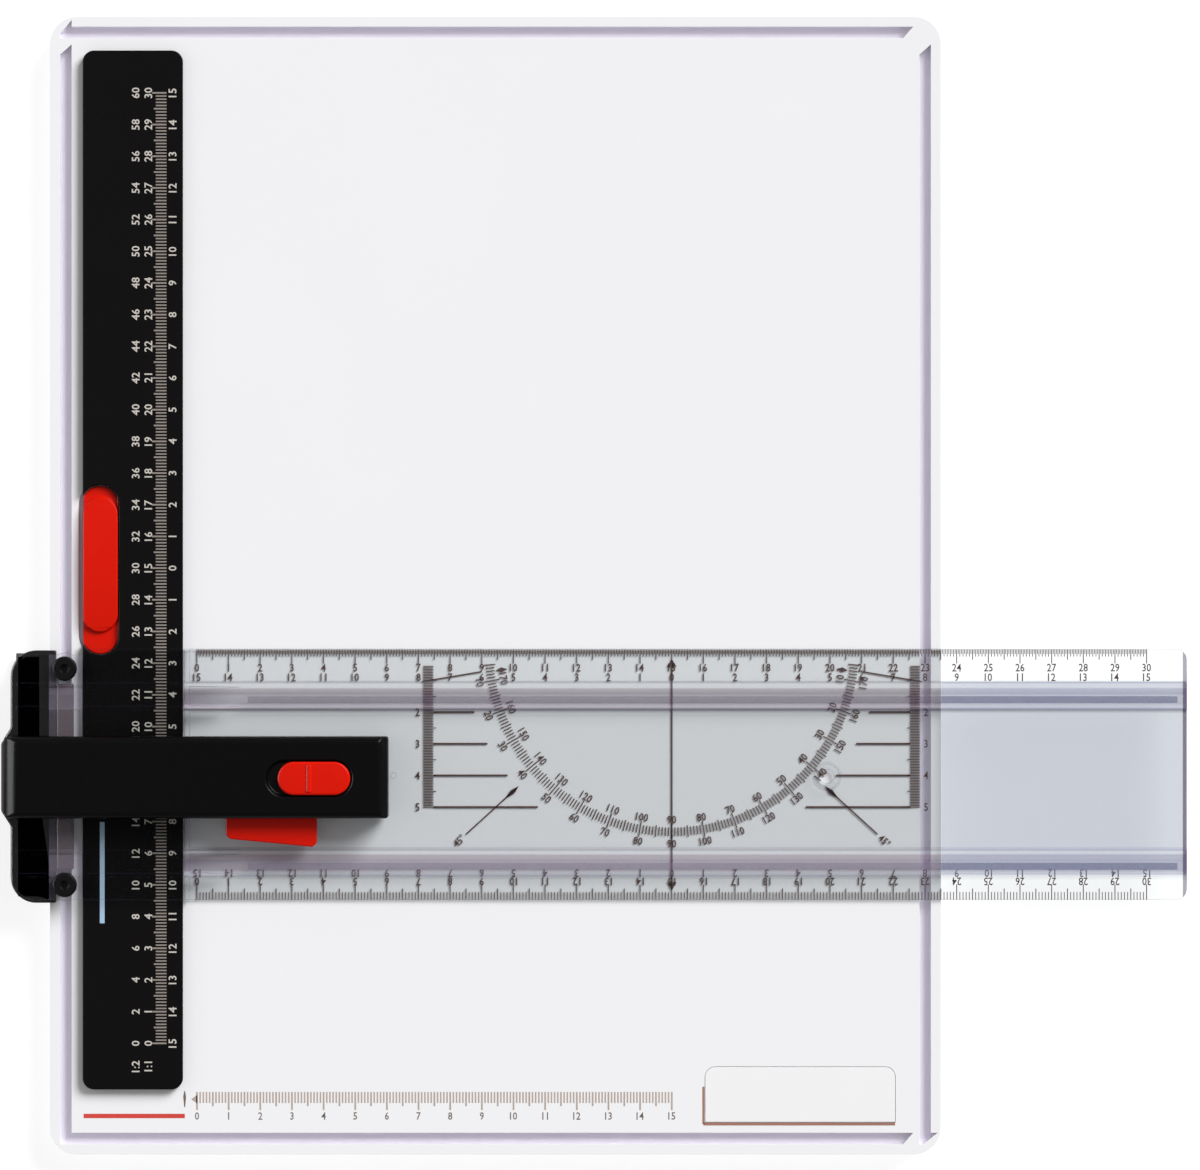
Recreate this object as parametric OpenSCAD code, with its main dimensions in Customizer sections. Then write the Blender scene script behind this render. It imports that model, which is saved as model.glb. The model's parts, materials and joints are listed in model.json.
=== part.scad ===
// Portable A4 drawing board with a clamp rail and a sliding parallel rule.
// Millimetres. +X runs along the rule, +Y up the sheet, +Z away from the table.
// The origin is on the table, under the middle of the whole footprint.

/* [Board] */
// Width of the board across X
board_w = 281.5; // [240:0.5:420]
// Length of the board along Y
board_l = 359.5; // [300:0.5:520]
// Thickness of the board panel
board_t = 9; // [8:0.5:14]
// Radius of the board's corners
board_r = 8.5; // [4:0.5:9]
// Height of the rubber feet
foot_h = 2; // [1.5:0.1:4]
// Diameter of a rubber foot
foot_d = 14; // [10:0.5:18]
// Distance of a foot's centre from the board's edges
foot_in = 22; // [18:0.5:30]
// Thickness left above the cells in the underside
skin_t = 4.8; // [3:0.1:6]
// Thickness of the ribs between the cells
cell_rib = 2.4; // [1.5:0.1:4]

/* [Guide groove] */
// Width of the land outside the groove
land_w = 3.2; // [2.8:0.1:5]
// Width of the groove
groove_w = 3.6; // [3:0.1:5]
// Depth of the groove
groove_t = 3.4; // [2.8:0.1:4]
// Distance of a mitred groove's longer wall from the board's corner
groove_end = 8.8; // [8:0.1:14]
// Depth of the rebate under the board's edge
rebate_w = 3.8; // [3:0.1:6]
// Height of the rebate
rebate_h = 2.7; // [2.4:0.1:3.2]

/* [Clamp rail] */
// Width of the rail
rail_w = 31.6; // [28:0.1:38]
// Thickness of the rail
rail_t = 2.8; // [2.6:0.1:3]
// Gap from the board's left edge to the rail
rail_in = 10.45; // [10:0.05:14]
// Gap from the board's top edge to the rail
rail_top_gap = 10.85; // [9:0.05:20]
// Gap from the board's bottom edge to the rail
rail_bottom_gap = 20.65; // [14:0.05:30]
// Gap between the rail's underside and the board
rail_lift0 = 0.15; // [0.1:0.05:0.2]
// Distance of the hinge axis from the rail's left edge
hinge_in = 2.6; // [2.4:0.1:3.2]
// Diameter of the rail's hinge pins
hinge_d = 1.2; // [1:0.05:1.3]
// Length of a hinge block along Y
block_l = 8; // [6:0.5:12]
// Width of the magnet strip and of the steel strip
strip_w = 6; // [4:0.5:8]

/* [Clamp key] */
// Length of the key's opening in the rail
key_l = 53.7; // [48:0.1:62]
// Width of the key's opening, corner to corner
key_w = 12; // [11:0.1:13]
// Length of the raised pad
pad_l = 42.7; // [36:0.1:44]
// Offset of the pad from the middle of the opening
pad_dy = 1.75; // [0:0.05:2.5]
// Height of the pad's crown over the board
pad_h = 3.5; // [3:0.1:3.8]
// Diameter of the key's pin
key_pin_d = 1.6; // [1.2:0.1:1.8]
// Distance of the key's two arms from its middle
key_arm_y = 12; // [9:0.5:15]

/* [Blade] */
// Height of the blade, edge to edge along Y
blade_l = 79.2; // [70:0.1:100]
// How far the blade passes the board's right edge
blade_over = 77.55; // [10:0.05:120]
// Gap between the blade and the board
blade_gap = 0.4; // [0.3:0.05:0.8]
// Thickness of the blade beside its stiffening ribs
blade_t = 1.9; // [1.7:0.1:2.4]
// Thickness at the drawing edges
edge_t = 0.9; // [0.7:0.1:1.4]
// Thickness of the window in the middle
window_t = 1.5; // [1.2:0.1:1.6]
// Thickness at the two stiffening ribs
rib_t = 2.7; // [2.5:0.1:3.4]
// Radius of the blade's free corners
blade_r = 3.3; // [1:0.1:8]
// Where the rule rests, measured from the board's middle
rule_rest = -59.6; // [-100:0.1:60]

/* [Head] */
// How far the guide bar passes the board's left edge
head_out = 12.15; // [11.5:0.05:16]
// Length of the guide bar
bar_l = 79.7; // [74:0.1:90]
// Offset of the head's pieces from the blade's centre line
head_dy = -0.7; // [-2:0.1:2]
// Distance of the two studs from each other
stud_span = 68.2; // [64:0.1:78]
// Diameter of a stud's head
stud_d = 7.75; // [6:0.05:8]
// Diameter of a stud's shank
stud_shank = 4; // [3:0.1:4.4]
// Travel of the brake
brake_travel = 1; // [0.6:0.1:1.2]

/* [Handle] */
// How far the handle reaches past the rail's right edge
handle_reach = 65.05; // [60:0.05:90]
// Width of the handle
handle_w = 25.75; // [25:0.05:32]
// Height of the handle's top over the board
handle_h = 16; // [15.8:0.1:22]
// How far the handle passes the board's left edge
handle_out = 14.85; // [14:0.05:20]
// Wall of the handle
wall = 1.8; // [1.4:0.1:2.2]
// Thickness of the handle's top
roof = 2.6; // [2.4:0.1:3]

/* [Release lever and lock] */
// Width of the part of the lever that shows
lever_w = 28.7; // [24:0.1:32]
// How far the lever stands out at its pivot end
lever_out = 6.6; // [4:0.1:9]
// How much further it stands out at its free end
lever_rake = 2.5; // [0:0.1:4]
// Thickness of the lever
lever_t = 3.5; // [2.5:0.1:3.6]
// Length of the arm that pushes the rod
lever_arm = 7; // [6:0.1:7.2]
// Length of the lock button
lock_l = 22.95; // [18:0.05:26]
// Width of the lock button
lock_w = 10.5; // [8:0.1:12]
// Travel of the lock button
lock_travel = 3; // [2.6:0.1:3.2]

/* [Clearances] */
// Clearance round pieces that only pass each other
gap = 0.3; // [0.25:0.05:0.4]
// Radial clearance of a running pin
run = 0.05; // [0.03:0.01:0.08]
// Clearance of a piece that is set into another
fit = 0.05; // [0.02:0.01:0.1]

/* [Hidden] */
$fn = 64;
eps = 0.01;

// Heights
top_z = foot_h + board_t;
rail_z = top_z + rail_lift0;
rail_top = rail_z + rail_t;
blade_z = top_z + blade_gap;
window_z = blade_z + window_t;
rail_clear = 1.45;
bridge_z = rail_top + rail_clear;
bridge_top = bridge_z + blade_t;
handle_top = top_z + handle_h;
bar_z = foot_h + 2.4;
hinge_z = rail_z + 1.1;
key_z = top_z - 1.3;

// The board stands off the origin so that the whole footprint is centred on it
board_x = (handle_out - blade_over) / 2;
left = -board_w / 2;
right = board_w / 2;
groove_x = left + land_w + groove_w / 2;
mitre = groove_w - 0.4;
pocket_rim = 1.1;
pocket_cut = 2.3;

// Name plate
plate_w = 60;
plate_l = 17.4;
plate_t = 1.1;
plate_r = 3.2;
plate_right_gap = 14.5;
plate_bottom_gap = 10.2;
plate_x = right - plate_right_gap - plate_w / 2;
plate_y = -board_l / 2 + plate_bottom_gap + plate_l / 2;

// Rail and key
rail_x0 = left + rail_in;
rail_x1 = rail_x0 + rail_w;
rail_y0 = -board_l / 2 + rail_bottom_gap;
rail_y1 = board_l / 2 - rail_top_gap;
rail_yc = (rail_y0 + rail_y1) / 2;
rail_l = rail_y1 - rail_y0;
hinge_x = rail_x0 + hinge_in;
hinge_ys = [rail_y0 + 14, rail_y1 - 14];
key_bite = 0.6;
key_cx = rail_x0 - key_bite + key_w / 2;
key_x1 = key_cx + key_w / 2;
key_px = key_x1 + 1.1;
key_tail = 8;
key_arm_w = 5;
key_pin_l = 2 * key_arm_y + 16;
strip_x = rail_x1 - 4.8 - strip_w / 2;
strip_l = rail_l - 40;
steel_t = 0.8;
magnet_t = 1.3;

// Blade and head, measured from the rule's own centre line
blade_x0 = rail_x1 + 0.5;
blade_x1 = right + blade_over;
step_w = 1.7;
ring_x = blade_x0 + 202.8;
rib_w = 8.5;
rib_ys = [24.6, -28.1];
bar_x0 = left - head_out;
bar_x1 = left - 0.45;
bar_x2 = left + 2.15;
bar_r = 8;
pocket_x0 = bar_x0 + 2.9;
pocket_x1 = bar_x1 - 3.3;
pocket_l = bar_l - 5.3;
shoe_x1 = pocket_x1 - 0.5;
shoe_x0 = pocket_x0 + brake_travel + 0.6;
shoe_y = head_dy + 0.2;
shoe_post = 3.4;
screw_x = (pocket_x1 + bar_x1) / 2;
pad_ys = [head_dy - 25, head_dy + 25];
brake_pad_l = 9.6;
brake_pad_h = 3.2;
brake_pad_z = bar_z + 2.2;
stud_ys = [head_dy - stud_span / 2, head_dy + stud_span / 2];
hook_ys = [head_dy - 34, head_dy - 15, head_dy + 15, head_dy + 34];
hook_h = 2.05;
hook_d = 1.8;
screw_d = 2;
boss_d = stud_shank + 1.5;

// Handle, lever and lock
hx0 = left - handle_out;
hx1 = rail_x1 + handle_reach;
handle_l = hx1 - hx0;
step_x = blade_x0 + step_w + 0.1;
hy = head_dy - 0.1;
handle_r = 6;
base_t = 1.6;
base_top = bridge_top + base_t;
low_top = window_z + base_t;
screw_left_ys = [hy - 8.2, hy + 8.2];
screw_right_ys = [hy - 7.5, hy + 7.5];
screw_right_x = hx1 - 6.5;
rod_d = 2.4;
collar_d = 5;
collar_x = pocket_x1 + 16.5;
rod_z = base_top + collar_d / 2 + 0.2;
bulk_x = [pocket_x1 + 3.6, rail_x1 - 1.2];
bulk_t = 1.4;
lever_z = low_top + 2;
lever_px = step_x + wall + 8.6;
lever_py = hy - 6.7;
lever_x0 = lever_px + 1.1;
lever_pin_d = 3;
post_d = 1.6;
post_x = lever_px + 27;
post_y = lever_py - 0.5;
lock_x = lever_px + 29.05;
lock_y = hy - 0.25;
roof_z = handle_top - roof;
lock_floor = handle_top - 1.1;
clip_t = 1.3;
nose_y = post_y + 1.88;
stem = [8, 4];

module on_board() translate([board_x, 0, 0]) children();
module on_rule() translate([board_x, rule_rest, 0]) children();

// A rectangle with its centre at the origin and round corners
module round_rect(w, l, r) {
    square([w - 2 * r, l], center = true);
    square([w, l - 2 * r], center = true);
    for (sx = [-1, 1], sy = [-1, 1])
        translate([sx * (w / 2 - r), sy * (l / 2 - r)]) circle(r);
}

// A slot with round ends, w across X and l along Y
module stadium(w, l) {
    square([w, l - w], center = true);
    for (s = [-1, 1]) translate([0, s * (l - w) / 2]) circle(w / 2);
}

// A box given by its two corners
module block(a, b) translate(a) cube(b - a);

// A rod of diameter d from x0 to x1 along X
module bar_along_x(d, x0, x1, y, z)
    translate([x0, y, z]) rotate([0, 90, 0]) cylinder(d = d, h = x1 - x0);

// A rod of diameter d from y0 to y1 along Y
module bar_along_y(d, y0, y1, x, z)
    translate([x, y0, z]) rotate([-90, 0, 0]) cylinder(d = d, h = y1 - y0);

// A screw that points up: a cone head whose flat face is at z, then its shank
module screw(d, z, l) {
    translate([0, 0, z]) cylinder(d1 = 2 * d, d2 = d, h = d / 2);
    translate([0, 0, z + d / 2]) cylinder(d = d, h = l - d / 2);
}

// The hole for such a screw from a face at z, with room c round its shank and head
module screw_hole(d, z, l, c) {
    translate([0, 0, z - eps]) cylinder(d1 = 2 * (d + 2 * c), d2 = d + 2 * c, h = d / 2 + c + eps);
    translate([0, 0, z - eps]) cylinder(d = d + 2 * c, h = l);
}

// ---------------------------------------------------------------- board

// Outline of the groove along the upper edge of a board w wide and l long: mitred at the right, and
// run on past the left groove into a pocket in the corner
module long_groove(w, l) {
    x0 = land_w - w / 2;
    x1 = w / 2 - groove_end;
    y1 = l / 2 - land_w;
    y0 = y1 - groove_w;
    polygon([
        [x0, y0],
        [x1 - mitre, y0],
        [x1, y1],
        [x0 + groove_w, y1],
        [x0 + groove_w, l / 2 - pocket_rim],
        [x0, l / 2 - land_w - pocket_cut]
    ]);
}

// Outline of the groove along the left edge, which starts in the lower one and stops short of the
// upper one, mitred the other way
module short_groove(w, l) {
    x0 = land_w - w / 2;
    y1 = l / 2 - groove_end;
    polygon([
        [x0, land_w - l / 2],
        [x0 + groove_w, land_w - l / 2],
        [x0 + groove_w, y1],
        [x0, y1 - mitre]
    ]);
}

module grooves() {
    translate([0, 0, top_z - groove_t]) linear_extrude(groove_t + 1) {
        long_groove(board_w, board_l);
        short_groove(board_w, board_l);
        mirror([1, -1]) long_groove(board_l, board_w);
        mirror([1, -1]) short_groove(board_l, board_w);
    }
}

// The step under the board's edge that the rule hooks into
module rebate() {
    difference() {
        translate([0, 0, foot_h - 1]) linear_extrude(rebate_h + 1)
            round_rect(board_w + 2, board_l + 2, board_r + 1);
        translate([0, 0, foot_h - 2]) linear_extrude(rebate_h + 3)
            round_rect(board_w - 2 * rebate_w, board_l - 2 * rebate_w, board_r - rebate_w);
    }
}

// Cells in the underside, right of the rail, with ribs between them
module cells() {
    x0 = rail_x1 + 4;
    x1 = right - foot_in - foot_d / 2 - 3;
    y0 = -board_l / 2 + 14;
    y1 = board_l / 2 - 14;
    nx = 5;
    ny = 7;
    cw = (x1 - x0) / nx;
    ch = (y1 - y0) / ny;
    for (i = [0:nx - 1], j = [0:ny - 1])
        block([x0 + i * cw + cell_rib / 2, y0 + j * ch + cell_rib / 2, foot_h - 1],
            [x0 + (i + 1) * cw - cell_rib / 2, y0 + (j + 1) * ch - cell_rib / 2, top_z - skin_t]);
}

// Places of the four feet
module at_feet()
    for (sx = [-1, 1], sy = [-1, 1])
        translate([sx * (board_w / 2 - foot_in), sy * (board_l / 2 - foot_in), 0]) children();

// Outline of the name plate, with its two top corners rounded
module plate_shape(grow) {
    translate([plate_x, plate_y]) intersection() {
        translate([0, -plate_r])
            round_rect(plate_w + 2 * grow, plate_l + 2 * (plate_r + grow), plate_r + grow);
        translate([0, 5]) square([plate_w + 2 * grow, plate_l + 10 + 2 * grow], center = true);
    }
}

module board_panel() {
    color("whitesmoke") on_board() difference() {
        translate([0, 0, foot_h]) linear_extrude(board_t) round_rect(board_w, board_l, board_r);
        grooves();
        rebate();
        cells();
        at_feet() cylinder(d = 5, h = foot_h + 3.2);
        translate([0, 0, top_z - plate_t]) linear_extrude(plate_t + 1) plate_shape(0.15);
        // Room under the key for its plate, its arms and its pin
        translate([key_cx, rail_yc, top_z - 1.6]) linear_extrude(3)
            stadium(key_w + 1.6, key_l + 1);
        block([key_cx - 2, rail_yc - key_arm_y - 4, top_z - 3.9],
            [key_px + key_tail + 1, rail_yc + key_arm_y + 4, top_z + 1]);
        key_pin_seat();
        // Seats of the steel strip and of the hinge blocks
        block([strip_x - strip_w / 2 - fit, rail_yc - strip_l / 2 - fit, top_z - steel_t],
            [strip_x + strip_w / 2 + fit, rail_yc + strip_l / 2 + fit, top_z + 1]);
        for (y = hinge_ys) {
            block([hinge_x - 1.6 - fit, y - block_l / 2 - fit, top_z - 3],
                [hinge_x + 3 + fit, y + block_l / 2 + fit, top_z + 1]);
            translate([hinge_x + 0.7, y, 0]) {
                cylinder(d = 2.2, h = top_z);
                cylinder(d = 4.6, h = foot_h + 2);
            }
        }
    }
}

// The pin drops into a slot from above
module key_pin_seat() {
    y0 = rail_yc - key_pin_l / 2 - fit;
    y1 = rail_yc + key_pin_l / 2 + fit;
    bar_along_y(key_pin_d + 2 * fit, y0, y1, key_px, key_z);
    block([key_px - key_pin_d / 2 - fit, y0, key_z], [key_px + key_pin_d / 2 + fit, y1, top_z + 1]);
}

module rubber_feet() {
    color("dimgray") on_board() at_feet() {
        cylinder(d1 = foot_d - 1, d2 = foot_d, h = foot_h / 2);
        translate([0, 0, foot_h / 2]) cylinder(d = foot_d, h = foot_h / 2);
        translate([0, 0, foot_h - eps]) cylinder(d = 5 - 2 * fit, h = 3);
    }
}

module name_plate() {
    color("white") on_board() translate([0, 0, top_z - plate_t])
        linear_extrude(plate_t - 0.05) plate_shape(0);
}

module steel_strip() {
    color("silver") on_board()
        block([strip_x - strip_w / 2, rail_yc - strip_l / 2, top_z - steel_t],
            [strip_x + strip_w / 2, rail_yc + strip_l / 2, top_z]);
}

module hinge_blocks() {
    color("gray") on_board() for (y = hinge_ys) difference() {
        block([hinge_x - 1.6, y - block_l / 2, top_z - 3], [hinge_x + 3, y + block_l / 2, hinge_z + 0.95]);
        bar_along_y(hinge_d, y - block_l, y + block_l, hinge_x, hinge_z);
        translate([hinge_x + 0.7, y, top_z - 4]) cylinder(d = 2, h = 3.2);
    }
}

module hinge_pins() {
    color("silver") on_board() for (y = hinge_ys)
        bar_along_y(hinge_d, y - block_l / 2 - 3.5, y + block_l / 2 + 3.5, hinge_x, hinge_z);
}

module hinge_screws() {
    color("silver") on_board() for (y = hinge_ys) translate([hinge_x + 0.7, y, 0]) {
        translate([0, 0, foot_h + 0.6]) difference() {
            cylinder(d = 4.4, h = 1.4);
            translate([0, 0, -1]) cylinder(d = 2, h = 1.8, $fn = 6);
        }
        translate([0, 0, foot_h + 2 - eps]) cylinder(d = 2, h = top_z - foot_h - 3);
    }
}

module key_pin() {
    color("silver") on_board()
        bar_along_y(key_pin_d, rail_yc - key_pin_l / 2, rail_yc + key_pin_l / 2, key_px, key_z);
}

// ---------------------------------------------------------------- clamp

module clamp_rail() {
    color("black") on_board() difference() {
        translate([rail_x0 + rail_w / 2, rail_yc, rail_z])
            linear_extrude(rail_t) round_rect(rail_w, rail_l, 3.6);
        translate([key_cx, rail_yc, rail_z - 1]) linear_extrude(rail_t + 2) stadium(key_w, key_l);
        for (y = hinge_ys) {
            block([hinge_x - 1.9, y - block_l / 2 - gap, rail_z - 1],
                [hinge_x + 3.4, y + block_l / 2 + gap, rail_top - 0.55]);
            bar_along_y(hinge_d + 2 * run, y - block_l / 2 - 4, y + block_l / 2 + 4, hinge_x, hinge_z);
        }
        block([strip_x - strip_w / 2 - fit, rail_yc - strip_l / 2 - fit, rail_z - 1],
            [strip_x + strip_w / 2 + fit, rail_yc + strip_l / 2 + fit, rail_z + magnet_t + 0.2]);
    }
}

module magnet_strip() {
    color("dimgray") on_board()
        block([strip_x - strip_w / 2, rail_yc - strip_l / 2, rail_z + 0.2],
            [strip_x + strip_w / 2, rail_yc + strip_l / 2, rail_z + 0.2 + magnet_t]);
}

module clamp_key() {
    pad_w = key_w - 2 * gap;
    crown = 1.3;
    crown_r = pow(pad_l / 2, 2) / (2 * crown);
    pad_y = rail_yc + pad_dy;
    color("red") on_board() difference() {
        union() {
            // Thin plate that fills the opening, cut off level with the rail's edge
            intersection() {
                translate([key_cx, rail_yc, top_z + 0.3]) linear_extrude(0.9)
                    stadium(pad_w, key_l - 2 * gap);
                block([rail_x0 + 0.1, rail_y0, top_z], [rail_x1, rail_y1, rail_top]);
            }
            // Crowned pad for the thumb
            intersection() {
                translate([key_cx, pad_y, top_z + 0.3]) linear_extrude(pad_h) stadium(pad_w, pad_l);
                block([rail_x0 + 0.1, rail_y0, top_z], [rail_x1, rail_y1, top_z + pad_h + 1]);
                bar_along_x(2 * crown_r, rail_x0, rail_x1, rail_yc, top_z + pad_h - crown_r, $fn = 400);
            }
            // Arms that reach under the rail and lift it
            for (s = [-1, 1]) translate([0, rail_yc + s * key_arm_y, 0]) {
                block([key_cx, -key_arm_w / 2, top_z - 2.4], [key_x1 - 0.6, key_arm_w / 2, top_z + 0.35]);
                block([key_x1 - 0.7, -key_arm_w / 2, top_z - 2.4],
                    [key_px + key_tail, key_arm_w / 2, top_z + 0.05]);
            }
        }
        bar_along_y(key_pin_d + 2 * run, rail_yc - key_l, rail_yc + key_l, key_px, key_z);
    }
}

// ---------------------------------------------------------------- rule

// Cross-section of the blade: bevelled drawing edges, two ribs and a thin window
module blade_section() {
    h = blade_l / 2;
    r = rib_w / 2;
    a = rib_ys[0];
    b = rib_ys[1];
    polygon([[-h, 0], [h, 0], [h, edge_t], [a + r + 0.8, blade_t], [a + r, rib_t], [a - r, rib_t],
        [a - r - 0.9, window_t], [b + r + 0.9, window_t], [b + r, rib_t], [b - r, rib_t],
        [b - r - 0.8, blade_t], [-h, edge_t]]);
}

// Plan of the head plate and the bridge: the head is a little shorter than the blade
module head_plan() {
    translate([rail_x0, -blade_l / 2]) square([blade_x0 + step_w - rail_x0, blade_l]);
    h = blade_l - 1.8;
    translate([(bar_x0 + rail_x0 + 8) / 2, -0.9]) intersection() {
        round_rect(rail_x0 + 8 - bar_x0, h, bar_r);
        square([rail_x0 + 8 - bar_x0, h], center = true);
    }
    for (y = stud_ys) translate([groove_x, y]) circle(stud_d / 2 + 1.2);
}

module blade() {
    color("lightblue", 0.5) on_rule() difference() {
        union() {
            // Lower blade on the sheet
            intersection() {
                translate([blade_x0, 0, blade_z]) rotate([90, 0, 90])
                    linear_extrude(blade_x1 - blade_x0) blade_section();
                translate([0, 0, blade_z - 1]) linear_extrude(rib_t + 2) {
                    translate([(blade_x0 + blade_x1) / 2, 0])
                        round_rect(blade_x1 - blade_x0, blade_l, blade_r);
                    translate([blade_x0, -blade_l / 2]) square([20, blade_l]);
                }
            }
            // Step up to the bridge over the rail
            block([blade_x0, -blade_l / 2, blade_z], [blade_x0 + step_w, blade_l / 2, bridge_top]);
            translate([0, 0, bridge_z]) linear_extrude(blade_t) head_plan();
            // Ribs along the bridge, and ramps that run down from them onto the blade
            for (y = rib_ys, s = [-1, 1]) translate([0, y + s * (rib_w / 2 - 0.6), 0]) {
                block([bar_x0 + 2, -0.6, bridge_top - eps], [blade_x0 + 1, 0.6, bridge_top + 0.6]);
                translate([0, 0.6, 0]) rotate([90, 0, 0]) linear_extrude(1.2)
                    polygon([[blade_x0 + 1, blade_z + 1], [blade_x0 + 18, blade_z + 1],
                        [blade_x0 + 18, blade_z + rib_t], [blade_x0 + step_w, bridge_top + 0.6],
                        [blade_x0 + 1, bridge_top + 0.6]]);
            }
            // Bosses that carry the studs
            for (y = stud_ys) translate([groove_x, y, top_z + gap])
                cylinder(d = boss_d, h = bridge_z - top_z - gap + eps);
            // Low ring near the middle of the window, and a nub at the handle's end
            translate([ring_x, head_dy, window_z - eps]) difference() {
                cylinder(r = 4.5, h = 0.4);
                translate([0, 0, -1]) cylinder(r = 3.9, h = 2);
            }
            translate([hx1 + 1.4, -0.4, window_z - eps]) cylinder(r = 0.9, h = 1);
        }
        translate([ring_x, head_dy, blade_z - 1]) cylinder(r = 2.2, h = 4);
        for (y = stud_ys) translate([groove_x, y, 0]) {
            translate([0, 0, top_z]) cylinder(d = stud_shank + 2 * fit, h = 10);
            translate([0, 0, bridge_top]) cylinder(d = stud_d + 0.6, h = 3);
        }
        shoe_slot(bridge_z - 1, blade_t + 2);
        for (y = screw_left_ys) translate([screw_x, y, bridge_z - 1]) cylinder(d = 2.2, h = 4);
        for (y = screw_right_ys) translate([screw_right_x, y, 0]) screw_hole(screw_d, blade_z, 4, 0.1);
    }
}

// Slot for the brake shoe's post and its travel
module shoe_slot(z, h)
    block([shoe_x0 - brake_travel - gap, shoe_y - shoe_post / 2 - gap, z],
        [shoe_x1 + gap, shoe_y + shoe_post / 2 + gap, z + h]);

module guide_bar() {
    color("black") on_rule() difference() {
        union() {
            translate([0, 0, bar_z]) linear_extrude(bridge_z - 0.05 - bar_z) {
                intersection() {
                    translate([(bar_x0 + bar_x1 + 10) / 2, head_dy])
                        round_rect(bar_x1 + 10 - bar_x0, bar_l, bar_r);
                    translate([bar_x0 - 1, head_dy - bar_l / 2 - 1])
                        square([bar_x1 - bar_x0 + 1, bar_l + 2]);
                }
                // Flare under the handle's end
                polygon([[bar_x0 + 1, hy + 15.6], [bar_x0, hy + 15.6], [hx0 + 0.3, hy + 11.8],
                    [hx0 + 0.3, hy - 11.8], [bar_x0, hy - 15.6], [bar_x0 + 1, hy - 15.6]]);
            }
            // Flange that slides on the board's land
            block([bar_x1 - 1, head_dy - bar_l / 2, top_z + 0.15],
                [bar_x2, head_dy + bar_l / 2, bridge_z - 0.05]);
        }
        block([pocket_x0, head_dy - pocket_l / 2, bar_z + 1.4],
            [pocket_x1, head_dy + pocket_l / 2, bridge_z + 1]);
        for (y = pad_ys) block([pocket_x1 - 1, y - brake_pad_l / 2 - gap, brake_pad_z - gap],
            [bar_x1 + 1, y + brake_pad_l / 2 + gap, brake_pad_z + brake_pad_h + gap]);
        for (y = screw_left_ys) translate([screw_x, y, 0]) screw_hole(screw_d, bar_z, 20, 0.1);
        for (y = hook_ys) translate([screw_x, y, bar_z - 1]) cylinder(d = hook_d, h = 7);
    }
}

module hook_plate() {
    color("dimgray") on_rule() difference() {
        block([bar_x0 + 1, head_dy - bar_l / 2 + 8, bar_z - hook_h - 0.05],
            [left + rebate_w - 0.95, head_dy + bar_l / 2 - 8 + 7, bar_z - 0.05]);
        for (y = hook_ys) translate([screw_x, y, 0])
            screw_hole(hook_d, bar_z - hook_h - 0.05, 4, 0.1);
    }
}

module hook_screws() {
    color("silver") on_rule() for (y = hook_ys) translate([screw_x, y, 0])
        screw(hook_d, bar_z - hook_h - 0.05, 7);
}

// Dark strip with a keel that runs in the groove
module guide_runner() {
    l = stud_span - stud_d - 1.8;
    color("saddlebrown") on_rule() {
        block([groove_x - 2.6, head_dy - l / 2, top_z + 0.2], [groove_x + 2.6, head_dy + l / 2, bridge_z - 0.05]);
        block([groove_x - groove_w / 2 + 0.2, head_dy - l / 2, top_z - 2],
            [groove_x + groove_w / 2 - 0.2, head_dy + l / 2, top_z + 0.3]);
    }
}

module guide_studs() {
    color("black") on_rule() for (y = stud_ys) translate([groove_x, y, 0]) difference() {
        union() {
            translate([0, 0, bridge_top]) cylinder(d = stud_d, h = 1.5);
            translate([0, 0, bridge_top + 1.5]) cylinder(d1 = stud_d, d2 = stud_d - 0.8, h = 0.4);
            translate([0, 0, top_z + gap]) cylinder(d = stud_shank, h = bridge_top - top_z - gap + eps);
            translate([0, 0, top_z - 2.6]) cylinder(d = groove_w - 2 * 0.15, h = 2.6 + gap + eps);
        }
        translate([0, 0, bridge_top + 0.7]) cylinder(r = 1.45, h = 3, $fn = 6);
    }
}

// Outline of the handle from the side, inset by w, with t off its top
module handle_side(w, t) {
    x0 = hx0 + w;
    x1 = hx1 - w;
    z1 = handle_top - t;
    r = handle_r - w;
    step = step_x + w;
    // Left of the step
    translate([x0 + r, bridge_top]) square([step - x0 - r, z1 - bridge_top]);
    translate([x0, bridge_top - 1.8]) square([left - head_out - 0.2 - x0, z1 - r - bridge_top + 1.8]);
    translate([x0, bridge_top]) square([r + 1, z1 - r - bridge_top]);
    intersection() {
        translate([x0 + r, z1 - r]) circle(r);
        translate([x0, bridge_top]) square([r + 1, r + 20]);
    }
    // Right of it
    polygon([[step, window_z], [x1, window_z], [x1, z1 - 3], [x1 - 2.5, z1], [step - 1, z1], [step - 1, bridge_top],
        [step, bridge_top]]);
}

// The same outline from the end, with round top edges
module handle_end(w, t) {
    r = 2.2 - w / 2;
    h = handle_w / 2 - w;
    z1 = handle_top - t;
    translate([hy - h, foot_h]) square([2 * h, z1 - r - foot_h]);
    translate([hy - h + r, foot_h]) square([2 * (h - r), z1 - foot_h]);
    for (s = [-1, 1]) translate([hy + s * (h - r), z1 - r]) circle(r);
}

module handle_solid(w, t) {
    intersection() {
        translate([0, hy + handle_w / 2 + 1, 0]) rotate([90, 0, 0])
            linear_extrude(handle_w + 2) handle_side(w, t);
        translate([hx0 - 1, 0, 0]) rotate([90, 0, 90]) linear_extrude(handle_l + 2) handle_end(w, t);
    }
}

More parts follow.
